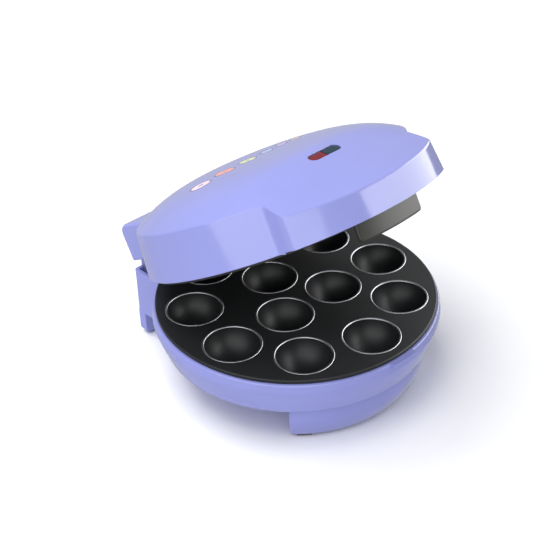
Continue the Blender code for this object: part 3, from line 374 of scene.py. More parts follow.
def stacked(name, rings):
    """A closed solid through rings of points, capped at both ends; a ring of one point is a pole."""
    shape = bmesh.new()
    layers = [[shape.verts.new(point) for point in ring] for ring in rings]
    for low, high in zip(layers, layers[1:]):
        count = max(len(low), len(high))
        for i in range(count):
            j = (i + 1) % count
            corners = (low[i % len(low)], low[j % len(low)], high[j % len(high)], high[i % len(high)])
            shape.faces.new(dict.fromkeys(corners))
    for layer in (layers[0], layers[-1]):
        if len(layer) > 2:
            shape.faces.new(layer)
    return new_piece(name, shape)


def turned(name, profile, sides, centre=(0, 0)):
    """A profile of (radius, z) points turned about an upright axis."""
    rings = []
    for radius, z in profile:
        spots = [polar(radius, 360 * i / sides, z) + Vector((centre[0], centre[1], 0)) for i in range(sides)]
        rings.append(spots if radius else spots[:1])
    return stacked(name, rings)


def along_x(name, outline, stations):
    """A (y, z) outline carried along X; a station is (x, how much the outline shrinks there)."""
    rings = [[(x, y, z) for y, z in outline(inset)] for x, inset in stations]
    return stacked(name, rings)


def arc_solid(name, layers, start, end, steps):
    """A curved bar: each layer gives its inner radius, outer radius and z."""
    angles = [start + (end - start) * i / steps for i in range(steps + 1)]
    return stacked(name, [[polar(outer, a, z) for a in angles]
                          + [polar(inner, a, z) for a in reversed(angles)] for inner, outer, z in layers])


def box_solid(name, low, high):
    corners = ((low[0], low[1]), (high[0], low[1]), (high[0], high[1]), (low[0], high[1]))
    return stacked(name, [[(x, y, z) for x, y in corners] for z in (low[2], high[2])])


def pin(name, start, length, radius, axis, sides=32):
    piece = turned(name, ((radius, 0), (radius, length)), sides)
    lay = {"X": Matrix.Rotation(math.pi / 2, 4, "Y"), "Y": Matrix.Rotation(-math.pi / 2, 4, "X")}[axis]
    piece.data.transform(Matrix.Translation(start) @ lay)
    return piece


def merged(name, pieces):
    shape = bmesh.new()
    for piece in pieces:
        shape.from_mesh(piece.data)
        bpy.data.objects.remove(piece)
    return new_piece(name, shape)


def combine(target, tools, operation):
    """Joins (UNION) or cuts (DIFFERENCE) solids, and removes the tools."""
    for tool in tools:
        step = target.modifiers.new(operation.lower(), "BOOLEAN")
        step.operation = operation
        step.object = tool
    bpy.context.view_layer.update()
    made = bpy.data.meshes.new_from_object(target.evaluated_get(bpy.context.evaluated_depsgraph_get()))
    target.modifiers.clear()
    target.data = made
    for tool in tools:
        bpy.data.objects.remove(tool)
    return target


def settle(piece, place, body, material, slot, *stands_for, angle=32):
    """Puts a drawn piece in its place, shades it, and hangs it on its body."""
    piece.data.transform(place)
    if not piece.data.materials:
        piece.data.materials.append(material)
    piece.data.shade_smooth()
    piece.data.set_sharp_from_angle(angle=math.radians(angle))
    even = piece.modifiers.new("even_shading", "WEIGHTED_NORMAL")
    even.keep_sharp = True
    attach(piece, body)
    if stands_for:
        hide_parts(*stands_for)
    print(f"{piece.name}: {len(piece.data.polygons)} faces on {body}")
    return piece

# %% [markdown]
# ## Base housing
#
# The base is one moulding: a bowl with a softly rounded side, a stepped pedestal under its front, a
# bracket with two legs at the rear, hinge ears, and a small tab that the latch hooks under. It could
# be one subdivision surface, but its crisp step and notches are easier to keep when each form is a
# solid of its own and they are joined and then hollowed, as a mould maker's cavities are.

# %% Base sizes
RIM_RADIUS = 102 * MM
RIM_TOP = -3 * MM
WALL = 2.5 * MM
BOWL_FLOOR = -31 * MM
FOOT_LEVEL = -58.5 * MM
PEDESTAL_HALF_ANGLE = 47.5
PEDESTAL_TOP_RADIUS = 93.7 * MM
PEDESTAL_FOOT_RADIUS = 86 * MM
PEDESTAL_INNER_RADIUS = 60 * MM
PEDESTAL_BULGE = 2.5 * MM
BRACKET_HALF_WIDTH = 59 * MM
BRACKET_REAR = 110 * MM
BRACKET_FRONT = 76 * MM
BRACKET_BOTTOM = -40 * MM
BOSS_TOP = -24.6 * MM
FIXINGS = [polar(86 * MM, angle) for angle in (-60, 60, 180)]
BOSS_RADIUS, SCREW_HOLE, HEAD_HOLE = 4.6 * MM, 2.2 * MM, 3.8 * MM
EAR_INNER, EAR_OUTER, EAR_RADIUS = 46 * MM, 52 * MM, 4.5 * MM
PIN_HOLE = 2.3 * MM
GLAND_LEVEL, GLAND_HOLE = -22 * MM, 5.3 * MM
LEAD_HALF_WIDTH = 8 * MM
FIT_GAP = 0.3 * MM
RUN_GAP = 0.5 * MM
# How far the bowl's side stands out from the rim's radius, from the rim down to its floor.
BOWL_SIDE = ((0, -4.2), (0.58, -10), (-0.9, -15), (-2.4, -20), (-4.4, -25), (-5.8, -29.4), (-7.4, -31))


def smooth_through(points, parts):
    """A Catmull-Rom curve through 2-D points, which rounds off a drawn profile."""
    points = [Vector(p) for p in points]
    ends = [2 * points[0] - points[1]] + points + [2 * points[-1] - points[-2]]
    curve = []
    for a, b, c, d in zip(ends, ends[1:], ends[2:], ends[3:]):
        for k in range(parts):
            t = k / parts
            curve.append(0.5 * (2 * b + (c - a) * t + (2 * a - 5 * b + 4 * c - d) * t * t
                                + (3 * b - a - 3 * c + d) * t ** 3))
    return curve + [points[-1]]


def bowl_section(inset):
    side = [(RIM_RADIUS + out * MM - inset, z * MM) for out, z in BOWL_SIDE]
    side = [tuple(p) for p in smooth_through(side[:-1], 5)] + [side[-1]]
    if inset:
        inside = [p for p in side if p[1] > BOWL_FLOOR + inset]
        return [(RIM_RADIUS - 2.5 * MM, 5 * MM)] + inside + [(inside[-1][0] - MM, BOWL_FLOOR + inset)]
    lip = [(RIM_RADIUS - 1.2 * MM * (1 - math.sin(a)), RIM_TOP - 1.2 * MM * (1 - math.cos(a)))
           for a in (0, 0.4, 0.8, 1.2)]
    return [(RIM_RADIUS - 1.9 * MM, RIM_TOP)] + lip + side


def pedestal_radius(z):
    share = min(max((BOWL_FLOOR - z) / (BOWL_FLOOR - FOOT_LEVEL), 0), 1)
    straight = PEDESTAL_TOP_RADIUS + (PEDESTAL_FOOT_RADIUS - PEDESTAL_TOP_RADIUS) * share
    return straight + PEDESTAL_BULGE * math.sin(math.pi * share)


def pedestal_ring(inset, z, corner):
    """Plan of the pedestal at a level: an arc outside, an arc inside, its outer corners rounded."""
    outer, inner = pedestal_radius(z) - inset, PEDESTAL_INNER_RADIUS + inset
    end = PEDESTAL_HALF_ANGLE - math.degrees(inset / PEDESTAL_FOOT_RADIUS)
    turn_in = math.degrees(corner / outer)
    ring = [polar(outer, (end - turn_in) * (i / 32 - 1), z) for i in range(65)]
    for k in range(1, 6):
        a = math.pi / 2 * k / 5
        ring.append(polar(outer - corner * (1 - math.cos(a)), end - turn_in * (1 - math.sin(a)), z))
    ring += [polar(inner, end * (1 - i / 16), z) for i in range(33)]
    for k in range(5, 0, -1):
        a = math.pi / 2 * k / 5
        ring.append(polar(outer - corner * (1 - math.cos(a)), -end + turn_in * (1 - math.sin(a)), z))
    return ring


# %% Base solids
pedestal_levels = [(1.0 * MM, FOOT_LEVEL), (0.5 * MM, FOOT_LEVEL + 0.2 * MM), (0, FOOT_LEVEL + 1.0 * MM)]
pedestal_levels += [(0, FOOT_LEVEL + (BOWL_FLOOR - FOOT_LEVEL) * i / 12) for i in range(1, 12)]
pedestal_levels += [(0.2 * MM, BOWL_FLOOR - 0.4 * MM), (0.6 * MM, BOWL_FLOOR), (0.6 * MM, BOWL_FLOOR + MM)]
base_housing = turned("base_housing", bowl_section(0), 192)
pedestal = stacked("pedestal", [pedestal_ring(inset, z, 2.0 * MM) for inset, z in pedestal_levels])

bracket_plan = rounded([(-BRACKET_HALF_WIDTH, BRACKET_FRONT), (BRACKET_HALF_WIDTH, BRACKET_FRONT),
                        (BRACKET_HALF_WIDTH, BRACKET_REAR), (-BRACKET_HALF_WIDTH, BRACKET_REAR)],
                       (0, 0, 2.0 * MM, 2.0 * MM))
bracket = stacked("bracket", [[(x, y, z) for x, y in bracket_plan] for z in (BRACKET_BOTTOM, RIM_TOP)])


def leg(side):
    """A rear leg, seen from the rear, with a large rounding at its outer toe."""
    outer, inner = BRACKET_HALF_WIDTH, BRACKET_HALF_WIDTH - 11 * MM
    view = rounded([(inner, BRACKET_BOTTOM + MM), (inner, FOOT_LEVEL), (outer, FOOT_LEVEL),
                    (outer, BRACKET_BOTTOM + MM)], (0, 1.0 * MM, 4.5 * MM, 0), 8)
    steps = ((102 * MM, 0.0), (109.2 * MM, 0.0), (109.7 * MM, 0.3), (BRACKET_REAR, 0.8))
    middle = (outer + inner) / 2
    rings = []
    for y, shrink in steps:
        rings.append([(side * (middle + (x - middle) * (1 - shrink * MM / (outer - middle))), y,
                       max(z, FOOT_LEVEL + shrink * MM)) for x, z in view])
    return stacked("leg", rings)


# The catch tab from below: how far out it reaches, and its level under the rim's top, in mm.
CATCH_SIDE = ((104.0, -3.0), (104.7, -2.7), (105.0, -2.2), (105.0, -0.9), (104.8, -0.3), (104.2, 0))
catch = arc_solid("catch", [(RIM_RADIUS - MM, reach * MM, RIM_TOP + z * MM) for reach, z in CATCH_SIDE],
                  -6, 6, 12)
combine(base_housing, [pedestal, bracket, leg(-1), leg(1), catch], "UNION")
print("base solid:", len(base_housing.data.polygons), "faces")

# %% Hollow the base and open its holes
bowl_hollow = turned("bowl_hollow", bowl_section(WALL), 96)
bosses = [turned("boss", ((BOSS_RADIUS, BOWL_FLOOR - MM), (BOSS_RADIUS, BOSS_TOP)), 32, spot[:2])
          for spot in FIXINGS]
combine(bowl_hollow, [merged("bosses", bosses)], "DIFFERENCE")
bracket_hollow = box_solid("bracket_hollow",
                           (WALL - BRACKET_HALF_WIDTH, BRACKET_FRONT + WALL, BRACKET_BOTTOM + WALL),
                           (BRACKET_HALF_WIDTH - WALL, BRACKET_REAR - WALL, 5 * MM))
keep_bowl = turned("keep_bowl", [(RIM_RADIUS, 8 * MM)] + bowl_section(0)[4:], 96)
combine(bracket_hollow, [keep_bowl], "DIFFERENCE")
pedestal_room = [(FOOT_LEVEL + WALL + (BOWL_FLOOR - FOOT_LEVEL - WALL) * i / 6) for i in range(7)]
pedestal_hollow = stacked("pedestal_hollow", [pedestal_ring(WALL, z, 1.0 * MM)
                                              for z in pedestal_room + [BOWL_FLOOR + WALL + MM]])
combine(base_housing, [bowl_hollow, bracket_hollow, pedestal_hollow], "DIFFERENCE")


def ear(side):
    """A hinge ear: an upright stem with a round head about the hinge's axis."""
    head = [(HINGE_Y + EAR_RADIUS * math.cos(a), HINGE_Z + EAR_RADIUS * math.sin(a))
            for a in [math.pi * i / 16 for i in range(17)]]
    outline = [(HINGE_Y - EAR_RADIUS, -20 * MM), (HINGE_Y + EAR_RADIUS, -20 * MM)] + head
    return stacked("ear", [[(x, y, z) for y, z in outline]
                           for x in sorted((side * EAR_INNER, side * EAR_OUTER))])


combine(base_housing, [ear(-1), ear(1)], "UNION")
pin_bores = [pin("bore", (x, HINGE_Y, HINGE_Z), EAR_OUTER - EAR_INNER + 2 * MM, PIN_HOLE, "X")
             for x in (-EAR_OUTER - MM, EAR_INNER - MM)]
head_seat = BOWL_FLOOR + 3.1 * MM
screw_holes = [turned("hole", ((HEAD_HOLE, BRACKET_BOTTOM - MM), (HEAD_HOLE, head_seat),
                               (SCREW_HOLE, head_seat), (SCREW_HOLE, BOSS_TOP + MM)), 32, spot[:2])
               for spot in FIXINGS]
lead_window = box_solid("lead_window", (-LEAD_HALF_WIDTH, 90 * MM, -24 * MM),
                        (LEAD_HALF_WIDTH, 105.5 * MM, -13 * MM))
gland_hole = pin("gland_hole", (0, BRACKET_REAR - WALL - MM, GLAND_LEVEL), WALL + 2 * MM, GLAND_HOLE, "Y")
combine(base_housing, [merged("pin_bores", pin_bores), merged("screw_holes", screw_holes), lead_window,
                       gland_hole], "DIFFERENCE")
settle(base_housing, base_place, "base", lavender, "lavender_plastic", "base_shell")

# %% [markdown]
# ## Lid housing
#
# From above the lid is a shallow dome that breaks along a soft crease into a sloping visor, and the
# visor runs out over a broad grip. Its height is one formula of x and y: the lower of the dome and
# the visor, blended where they meet. The wall under it leans in a little and swells out at the front to
# form the grip. Each radial section is: rim, wall, a true rounded edge, then points on the formula.
# A formula keeps the crease exactly as soft as it should be, which sculpting wouldn't.

# %% Lid sizes and its top surface
LID_WALL = 2.4 * MM
LID_RIM_Z = 2.5 * MM
LID_TOP_RADIUS = 98.5 * MM
LID_EDGE_Z = 35.5 * MM
LID_CROWN = 17 * MM
LID_CROWN_POWER = 3.75
EDGE_ROUNDING = 2.2 * MM
VISOR_Y, VISOR_Z = -108 * MM, 25.5 * MM
VISOR_SLOPE = 0.49
VISOR_SIDE_FALL = 1.7
CREASE_SOFTNESS = 2.5 * MM
GRIP_RIM_RADIUS = 115.5 * MM
GRIP_TOP_RADIUS = 113 * MM
GRIP_LOW_Z = 4.5 * MM
GRIP_FLAT_ANGLE, GRIP_END_ANGLE = 36, 43
FRONT_WALL_RADIUS = 101.6 * MM
POST_LOW = 25.1 * MM


def lid_top(x, y):
    share = min(math.hypot(x, y) / LID_TOP_RADIUS, 1)
    dome = LID_EDGE_Z + LID_CROWN * (1 - share ** LID_CROWN_POWER)
    visor = VISOR_Z + VISOR_SLOPE * (y - VISOR_Y) - VISOR_SIDE_FALL * x * x
    nearness = max(CREASE_SOFTNESS - abs(dome - visor), 0) / CREASE_SOFTNESS
    return min(dome, visor) - nearness * nearness * CREASE_SOFTNESS / 4


def grip_amount(degrees):
    return smooth_step((GRIP_END_ANGLE - abs(degrees)) / (GRIP_END_ANGLE - GRIP_FLAT_ANGLE))


# %% Sections of the lid
def lid_section(degrees, inset, low, with_grip=True, bends=8, rings=70):
    """One radial section: rim, wall, rounded edge tangent to wall and top, then the top."""
    share = grip_amount(degrees) if with_grip else 0
    rim = RIM_RADIUS + (GRIP_RIM_RADIUS - RIM_RADIUS) * share - inset
    top = LID_TOP_RADIUS + (GRIP_TOP_RADIUS - LID_TOP_RADIUS) * share - inset

    def height(radius):
        spot = polar(radius, degrees)
        return lid_top(spot.x, spot.y) - inset

    corner = Vector((top, height(top)))
    wall = (corner - Vector((rim, LID_RIM_Z))).normalized()
    inward = Vector((-MM, height(top - MM) - height(top))).normalized()
    bend = wall.angle(inward)
    rounding = EDGE_ROUNDING if not inset else 1.0 * MM
    side = Vector((-wall.y, wall.x))
    centre = corner - wall * rounding * math.tan(bend / 2) + side * rounding
    lip = [] if inset else [Vector((rim - 0.5 * MM, low)), Vector((rim - 0.15 * MM, low + 0.15 * MM)),
                            Vector((rim, low + 0.5 * MM))]
    section = lip or [Vector((rim, low)), Vector((rim, LID_RIM_Z))]
    for i in range(bends + 1):
        a = bend * i / bends
        section.append(centre - side * rounding * math.cos(a) + wall * rounding * math.sin(a))
    start = section[-1].x
    section += [Vector((start * (1 - i / rings), height(start * (1 - i / rings)))) for i in range(1, rings)]
    return [polar(radius, degrees, z) for radius, z in section]


def lid_angles(coarse, fine):
    """Angles round the lid, closer together where the grip swells out of the wall."""
    angles, here = [], -180.0
    while here < 180 - 1e-6:
        angles.append(here)
        here += fine if 33 <= abs(here + fine / 2) < 46 else coarse
    return angles


def lid_solid(name, inset, low, with_grip=True, coarse=2.0, fine=0.5, bends=8, rings=70):
    sections = [lid_section(a, inset, low, with_grip, bends, rings) for a in lid_angles(coarse, fine)]
    return stacked(name, [list(ring) for ring in zip(*sections)] + [[(0, 0, lid_top(0, 0) - inset)]])


# %% [markdown]
# ## Hinge cover, grip and indicator window
#
# A rounded box over the hinge is joined to the lid at the rear. The grip is hollow and open below,
# with a lug at each side for the latch's pin. The indicator window is a long round-ended slot in the
# visor. Its tool flares at the top, so that the slot's mouth comes out softly rounded.

# %% Hinge cover outline and window frame
COVER_HALF_WIDTH = 59 * MM
COVER_REAR, COVER_FRONT = 115.9 * MM, 80 * MM
COVER_LOW, COVER_TOP = 7 * MM, 35.5 * MM
COVER_ROUNDING, COVER_END_ROUNDING = 7.5 * MM, 2.5 * MM
LENS_Y = -66 * MM
LENS_LENGTH, LENS_WIDTH = 26 * MM, 8 * MM
LENS_DEPTH, LENS_RECESS = 4 * MM, 0.8 * MM


def cover_outline(inset, low=COVER_LOW):
    rear, top = COVER_REAR - inset, COVER_TOP - inset
    radius = COVER_ROUNDING - inset
    low = low + inset if low == COVER_LOW else low
    bend = [(rear - radius * (1 - math.cos(a)), top - radius * (1 - math.sin(a)))
            for a in [math.pi / 2 * i / 10 for i in range(11)]]
    return [(COVER_FRONT + inset, low), (rear, low)] + bend + [(COVER_FRONT + inset, top)]


window_frame = (Matrix.Translation((0, LENS_Y, lid_top(0, LENS_Y)))
                @ Matrix.Rotation(math.atan(VISOR_SLOPE), 4, "X"))


def slot_ring(grow, z, steps=16):
    """A long outline with round ends, grown all round by an amount."""
    radius = LENS_WIDTH / 2 + grow
    middle = (LENS_LENGTH - LENS_WIDTH) / 2
    ring = []
    for side, first in ((1, -90), (-1, 90)):
        for i in range(steps + 1):
            a = math.radians(first + 180 * i / steps)
            ring.append((side * middle + radius * math.cos(a), radius * math.sin(a), z))
    return ring


def framed(piece):
    piece.data.transform(window_frame)
    return piece


# %% Join and cut the lid
lid_housing = lid_solid("lid_housing", 0, LID_RIM_Z)
stations = [(COVER_END_ROUNDING * (1 - math.cos(a)) - COVER_HALF_WIDTH,
             COVER_END_ROUNDING * (1 - math.sin(a)))
            for a in (0, 0.3, 0.6, 0.9, 1.2, math.pi / 2)]
stations += [(-x, inset) for x, inset in reversed(stations)]
combine(lid_housing, [along_x("cover", cover_outline, stations)], "UNION")

lid_hollow = lid_solid("lid_hollow", LID_WALL, LID_RIM_Z - 8 * MM, False, 4.0, 4.0, 3, 24)
posts = [turned("post", ((BOSS_RADIUS, POST_LOW), (BOSS_RADIUS, 70 * MM)), 24, spot[:2])
         for spot in FIXINGS]
combine(lid_hollow, [merged("posts", posts)], "DIFFERENCE")

pocket_sections = []
for i in range(57):
    degrees = 35 * (i / 28 - 1)
    inner, outer = polar(FRONT_WALL_RADIUS, degrees), polar(GRIP_TOP_RADIUS - LID_WALL, degrees)
    pocket_sections.append([polar(FRONT_WALL_RADIUS, degrees, -5 * MM),
                            polar(GRIP_RIM_RADIUS - LID_WALL, degrees, -5 * MM),
                            polar(GRIP_TOP_RADIUS - LID_WALL, degrees, lid_top(outer.x, outer.y) - LID_WALL),
                            polar(FRONT_WALL_RADIUS, degrees, lid_top(inner.x, inner.y) - LID_WALL)])
pocket = stacked("pocket", pocket_sections)
LUG_START, LUG_THICKNESS = 28.5 * MM, 3 * MM
KNUCKLE_START, KNUCKLE_END, KNUCKLE_RADIUS = 14 * MM, 28 * MM, 2.3 * MM
LATCH_BORE = 1.5 * MM
lugs = []
for side in (-1, 1):
    ends = sorted((side * LUG_START, side * (LUG_START + LUG_THICKNESS)))
    lugs.append(box_solid("lug", (ends[0], -120 * MM, latch_pivot.z - KNUCKLE_RADIUS),
                          (ends[1], -90 * MM, 50 * MM)))
combine(pocket, lugs, "DIFFERENCE")

cover_hollow = along_x("cover_hollow", lambda inset: cover_outline(LID_WALL, -5 * MM),
                       ((LID_WALL - COVER_HALF_WIDTH, 0), (COVER_HALF_WIDTH - LID_WALL, 0)))
wall_to_keep = lid_solid("wall_to_keep", 0.2 * MM, LID_RIM_Z - 20 * MM, False, 4.0, 4.0, 3, 12)
hinge_blocks = []
for near, far in ((39.5 * MM, EAR_INNER - RUN_GAP), (EAR_OUTER + RUN_GAP, 64 * MM)):
    for side in (-1, 1):
        ends = sorted((side * near, side * far))
        hinge_blocks.append(box_solid("hinge_block",
                                      (ends[0], HINGE_Y - EAR_RADIUS, HINGE_Z - EAR_RADIUS),
                                      (ends[1], 130 * MM, 60 * MM)))
combine(cover_hollow, [wall_to_keep] + hinge_blocks, "DIFFERENCE")
combine(lid_housing, [lid_hollow, pocket, cover_hollow], "DIFFERENCE")

# %% Openings of the lid
under_grip = arc_solid("under_grip", [(FRONT_WALL_RADIUS, 140 * MM, z) for z in (-10 * MM, GRIP_LOW_Z)],
                       -40, 40, 40)
notches = []
for side in (-1, 1):
    ends = sorted((side * (EAR_INNER - RUN_GAP), side * (EAR_OUTER + RUN_GAP)))
    notches.append(box_solid("notch", (ends[0], HINGE_Y, -5 * MM),
                             (ends[1], 121 * MM, HINGE_Z + EAR_RADIUS + 3 * MM)))
bores = [pin("bore", (x, HINGE_Y, HINGE_Z), 19 * MM, PIN_HOLE, "X") for x in (-57.5 * MM, 38.5 * MM)]
bores.append(pin("bore", (-32 * MM, latch_pivot.y, latch_pivot.z), 64 * MM, LATCH_BORE, "X"))
holes = [turned("hole", ((SCREW_HOLE, POST_LOW - MM), (SCREW_HOLE, POST_LOW + 10 * MM)), 24, spot[:2])
         for spot in FIXINGS]
lead_way = box_solid("lead_way", (-LEAD_HALF_WIDTH, 90 * MM, COVER_LOW + 3 * MM),
                     (LEAD_HALF_WIDTH, 104 * MM, COVER_LOW + 12 * MM))
MOUTH = 0.7 * MM
flare = [(FIT_GAP + MOUTH * (1 - math.cos(a)), -MOUTH * (1 - math.sin(a)))
         for a in [math.pi / 2 * i / 6 for i in range(7)]]
window = framed(stacked("window", [slot_ring(FIT_GAP, -12 * MM)] + [slot_ring(g, z) for g, z in flare]
                        + [slot_ring(FIT_GAP + MOUTH, 6 * MM)]))
combine(lid_housing, [under_grip, merged("notches", notches), merged("bores", bores), merged("holes", holes),
                      lead_way, window], "DIFFERENCE")
settle(lid_housing, lid_place, "lid", lavender, "lavender_plastic", "lid_shell")

# %% [markdown]
# ## Cooking plates
#
# Each plate is one aluminium casting: a flat face with twelve round cups, and at its back the cups'
# outsides, posts that carry the heater, and bosses for the screws. The cups are turned solids. One
# set joins the plate as their outsides and another set, a little smaller, is cut out of it. Each mouth
# has a low bead round it, coloured bright metal as a painted highlight: a thin disc joined to the face,
# which the cup's cutter opens.
# The cutter flares at the top, so that the bead's inner side is round too.

# %% Plate sizes
PLATE_RADIUS = 100 * MM
PLATE_THICKNESS = 2.7 * MM
PLATE_GAP = 0.5 * MM
SKIRT_DEPTH, SKIRT_THICKNESS = 7 * MM, 2.2 * MM
CUP_RADIUS, CUP_DEPTH, CUP_WALL = 19.3 * MM, 18 * MM, 2 * MM
SHIELD_OFFSET = 23.5 * MM
POST_RADIUS, POST_BOTTOM = 4.2 * MM, -14.2 * MM      # the heater rests on six posts
MOUTH_ROUNDING = 0.6 * MM
BEAD_HEIGHT = 0.22 * MM
BEAD_RADIUS = 0.45 * MM
CUPS = [polar(73.2 * MM, 40 * i) for i in range(9)] + [polar(27.3 * MM, 180 + 120 * i) for i in range(3)]
sphere = (CUP_RADIUS ** 2 + CUP_DEPTH ** 2) / (2 * CUP_DEPTH)


def cup_profile(wall, top, rings):
    """The round bottom of a cup up to a level, as (radius, z) points from its lowest point."""
    radius, middle = sphere + wall, sphere - CUP_DEPTH
    last = math.acos(min(max((middle - top) / radius, -1), 1))
    return [(radius * math.sin(last * i / rings), middle - radius * math.cos(last * i / rings))
            for i in range(rings + 1)]


def mouth_profile():
    """A cup's cutter: the cup, a small quarter round at its mouth, then straight up."""
    top = BEAD_HEIGHT - MOUTH_ROUNDING
    profile = cup_profile(0, top, 22)
    wall = profile[-1][0]
    for i in range(1, 7):
        a = math.pi / 2 * i / 6
        profile.append((wall + MOUTH_ROUNDING * (1 - math.cos(a)), top + MOUTH_ROUNDING * math.sin(a)))
    return profile + [(wall + MOUTH_ROUNDING, 2 * MM)]


def bead_profile():
    """A low disc with a round edge, which the mouth's cutter turns into a bead round the mouth."""
    crest = CUP_RADIUS + MOUTH_ROUNDING + 0.3 * MM
    bend = math.acos(1 - (BEAD_HEIGHT + 0.1 * MM) / BEAD_RADIUS)
    arc = [(crest + BEAD_RADIUS * math.sin(a), BEAD_HEIGHT - BEAD_RADIUS * (1 - math.cos(a)))
           for a in [bend * i / 5 for i in range(5, -1, -1)]]
    return [(arc[0][0], -1.0 * MM)] + arc


def cooking_plate(name, edge, skirt, hole):
    round_edge = [(edge - 0.8 * MM * (1 - math.sin(a)), -0.8 * MM * (1 - math.cos(a)))
                  for a in [math.pi / 2 * i / 5 for i in range(6)]]
    thin, low = -PLATE_THICKNESS, -SKIRT_DEPTH
    inside = skirt - SKIRT_THICKNESS
    plate = turned(name, round_edge + [(edge, thin + 0.3 * MM), (edge - 0.3 * MM, thin), (skirt, thin),
                                       (skirt, low), (inside, low), (inside, thin)], 192)
    sink = -PLATE_THICKNESS / 2
    backs = [turned("cup", cup_profile(CUP_WALL, sink, 10), 40, spot[:2]) for spot in CUPS]
    for angle in (20, 100, 140):
        for side in (-1, 1):
            spot = polar(PLATE_RADIUS / 2, side * angle)
            backs.append(turned("post", ((POST_RADIUS, POST_BOTTOM), (POST_RADIUS, sink)), 24, spot[:2]))
    backs += [turned("boss", ((BOSS_RADIUS, FIT_GAP - SHIELD_OFFSET), (BOSS_RADIUS, sink)), 24, spot[:2])
              for spot in FIXINGS]
    beads = [turned("bead", bead_profile(), 72, spot[:2]) for spot in CUPS]
    combine(plate, [merged("backs", backs), merged("beads", beads)], "UNION")
    hollows = [turned("cup", mouth_profile(), 72, spot[:2]) for spot in CUPS]
    hollows += [turned("hole", hole, 24, spot[:2]) for spot in FIXINGS]
    combine(plate, [merged("hollows", hollows)], "DIFFERENCE")
    plate.data.materials.append(coating)
    plate.data.materials.append(mouth_highlight)
    # The faces round each mouth get the bright metal of the painted highlight.
    for face in plate.data.polygons:
        reach = min((face.center.xy - spot.xy).length for spot in CUPS)
        off_the_face = abs(face.center.z) > 1e-6 and face.center.z > BEAD_HEIGHT - MOUTH_ROUNDING
        if CUP_RADIUS - 0.1 * MM < reach < CUP_RADIUS + 2 * MM and off_the_face:
            face.material_index = 1
    return plate


def turn_over(piece):
    """Moves a piece drawn for the lower plate to the upper plate's place."""
    piece.data.transform(Matrix.Translation((0, 0, PLATE_GAP)) @ Matrix.Diagonal((1, 1, -1, 1)))
    piece.data.flip_normals()
    return piece


# %% Make both plates
hole_start, head_level = -SHIELD_OFFSET - MM, -2.8 * MM
blind = ((SCREW_HOLE, hole_start), (SCREW_HOLE, -11 * MM))
headed = ((SCREW_HOLE, hole_start), (SCREW_HOLE, head_level), (HEAD_HOLE, head_level), (HEAD_HOLE, 2 * MM))
settle(cooking_plate("lower_casting", PLATE_RADIUS, 98.6 * MM, blind), base_place, "base", coating,
       "nonstick_coating", "lower_cooking_plate")
settle(turn_over(cooking_plate("upper_casting", 99.1 * MM, 97.0 * MM, headed)), lid_place, "lid", coating,
       "nonstick_coating", "upper_cooking_plate")

# %% [markdown]
# ## Latch
#
# The latch is a curved pull that follows the grip, with rounded lower corners and softened edges, a
# nib that hooks under the base's tab, and a knuckle at each end of its top for the pin. Its front is a
# grid of points bent round the machine, whose depth falls away near the edges. That gives real
# rounded edges with even quads, where a bevel on a bent plate would pinch at the corners.

# %% Latch
LATCH_RADIUS, LATCH_THICKNESS = 105.6 * MM, 2.4 * MM
LATCH_HALF_ANGLE = 15.3
LATCH_LOW = -9.5 * MM
LATCH_CORNER = 3.5 * MM
LATCH_EDGE = 1.4 * MM
latch_front = LATCH_RADIUS + LATCH_THICKNESS
latch_half = latch_front * math.radians(LATCH_HALF_ANGLE)


def eased(count):
    """Shares from -1 to 1 that lie closer together near both ends."""
    return [math.sin(math.pi / 2 * (2 * i / count - 1)) for i in range(count + 1)]


def half_width(z):
    rise = z - LATCH_LOW
    if rise >= LATCH_CORNER:
        return latch_half
    return latch_half - LATCH_CORNER + math.sqrt(LATCH_CORNER ** 2 - (LATCH_CORNER - rise) ** 2)


columns = eased(56)
levels = [LATCH_LOW + 0.02 * MM]
levels += [LATCH_LOW + (latch_pivot.z - LATCH_LOW) * (i / 30) ** 1.6 for i in range(1, 31)]
rings = []
for z in levels:
    front, rear = [], []
    for share in columns:
        across = share * half_width(z)
        edge = min(half_width(z) - abs(across), z - LATCH_LOW)
        fall = LATCH_EDGE - math.sqrt(max(LATCH_EDGE ** 2 - max(LATCH_EDGE - edge, 0) ** 2, 0))
        front.append(polar(latch_front - fall * 0.9, math.degrees(across / latch_front), z))
        rear.append(polar(LATCH_RADIUS, math.degrees(across / latch_front), z))
    rings.append(front + rear[::-1])
latch = stacked("latch_pull", rings)
nib_low = LATCH_LOW + 0.4 * MM
# The nib from below: how far in it reaches, and its level over its foot, in mm.
NIB_SIDE = ((104.0, 0), (104.0, 2.2), (104.3, 2.9), (105.0, 3.2))
nib = arc_solid("nib", [(reach * MM, 106 * MM, nib_low + z * MM) for reach, z in NIB_SIDE], -12, 12, 24)
knuckles = [pin("knuckle", (x, latch_pivot.y, latch_pivot.z), KNUCKLE_END - KNUCKLE_START, KNUCKLE_RADIUS,
                "X", 28) for x in (-KNUCKLE_END, KNUCKLE_START)]
combine(latch, [nib] + knuckles, "UNION")
spring_room = box_solid("spring_room", (-KNUCKLE_START, latch_pivot.y - 8 * MM, latch_pivot.z - 2.6 * MM),
                        (KNUCKLE_START, latch_pivot.y + 5 * MM, latch_pivot.z + 5 * MM))
bore_start = KNUCKLE_END + MM
bore = pin("bore", (-bore_start, latch_pivot.y, latch_pivot.z), 2 * bore_start, LATCH_BORE, "X")
combine(latch, [spring_room, bore], "DIFFERENCE")
settle(latch, lid_place, "latch", black_satin, "black_plastic", "latch")

# %% [markdown]
# ## Indicator lenses: tinted acrylic
#
# One window has two lenses, a red one for power and a green one for heat. They are acrylic (IOR 1.49)
# tinted in the melt, with fine prism ribs at the back that hide the lamps. Seen unlit from above they
# are almost black with a deep tint. Clear glass over a dark lamp would cost many light bounces for the
# same look, so the tint is simply a dark colour, and the ribs are a bump of waves 0.8 mm apart.

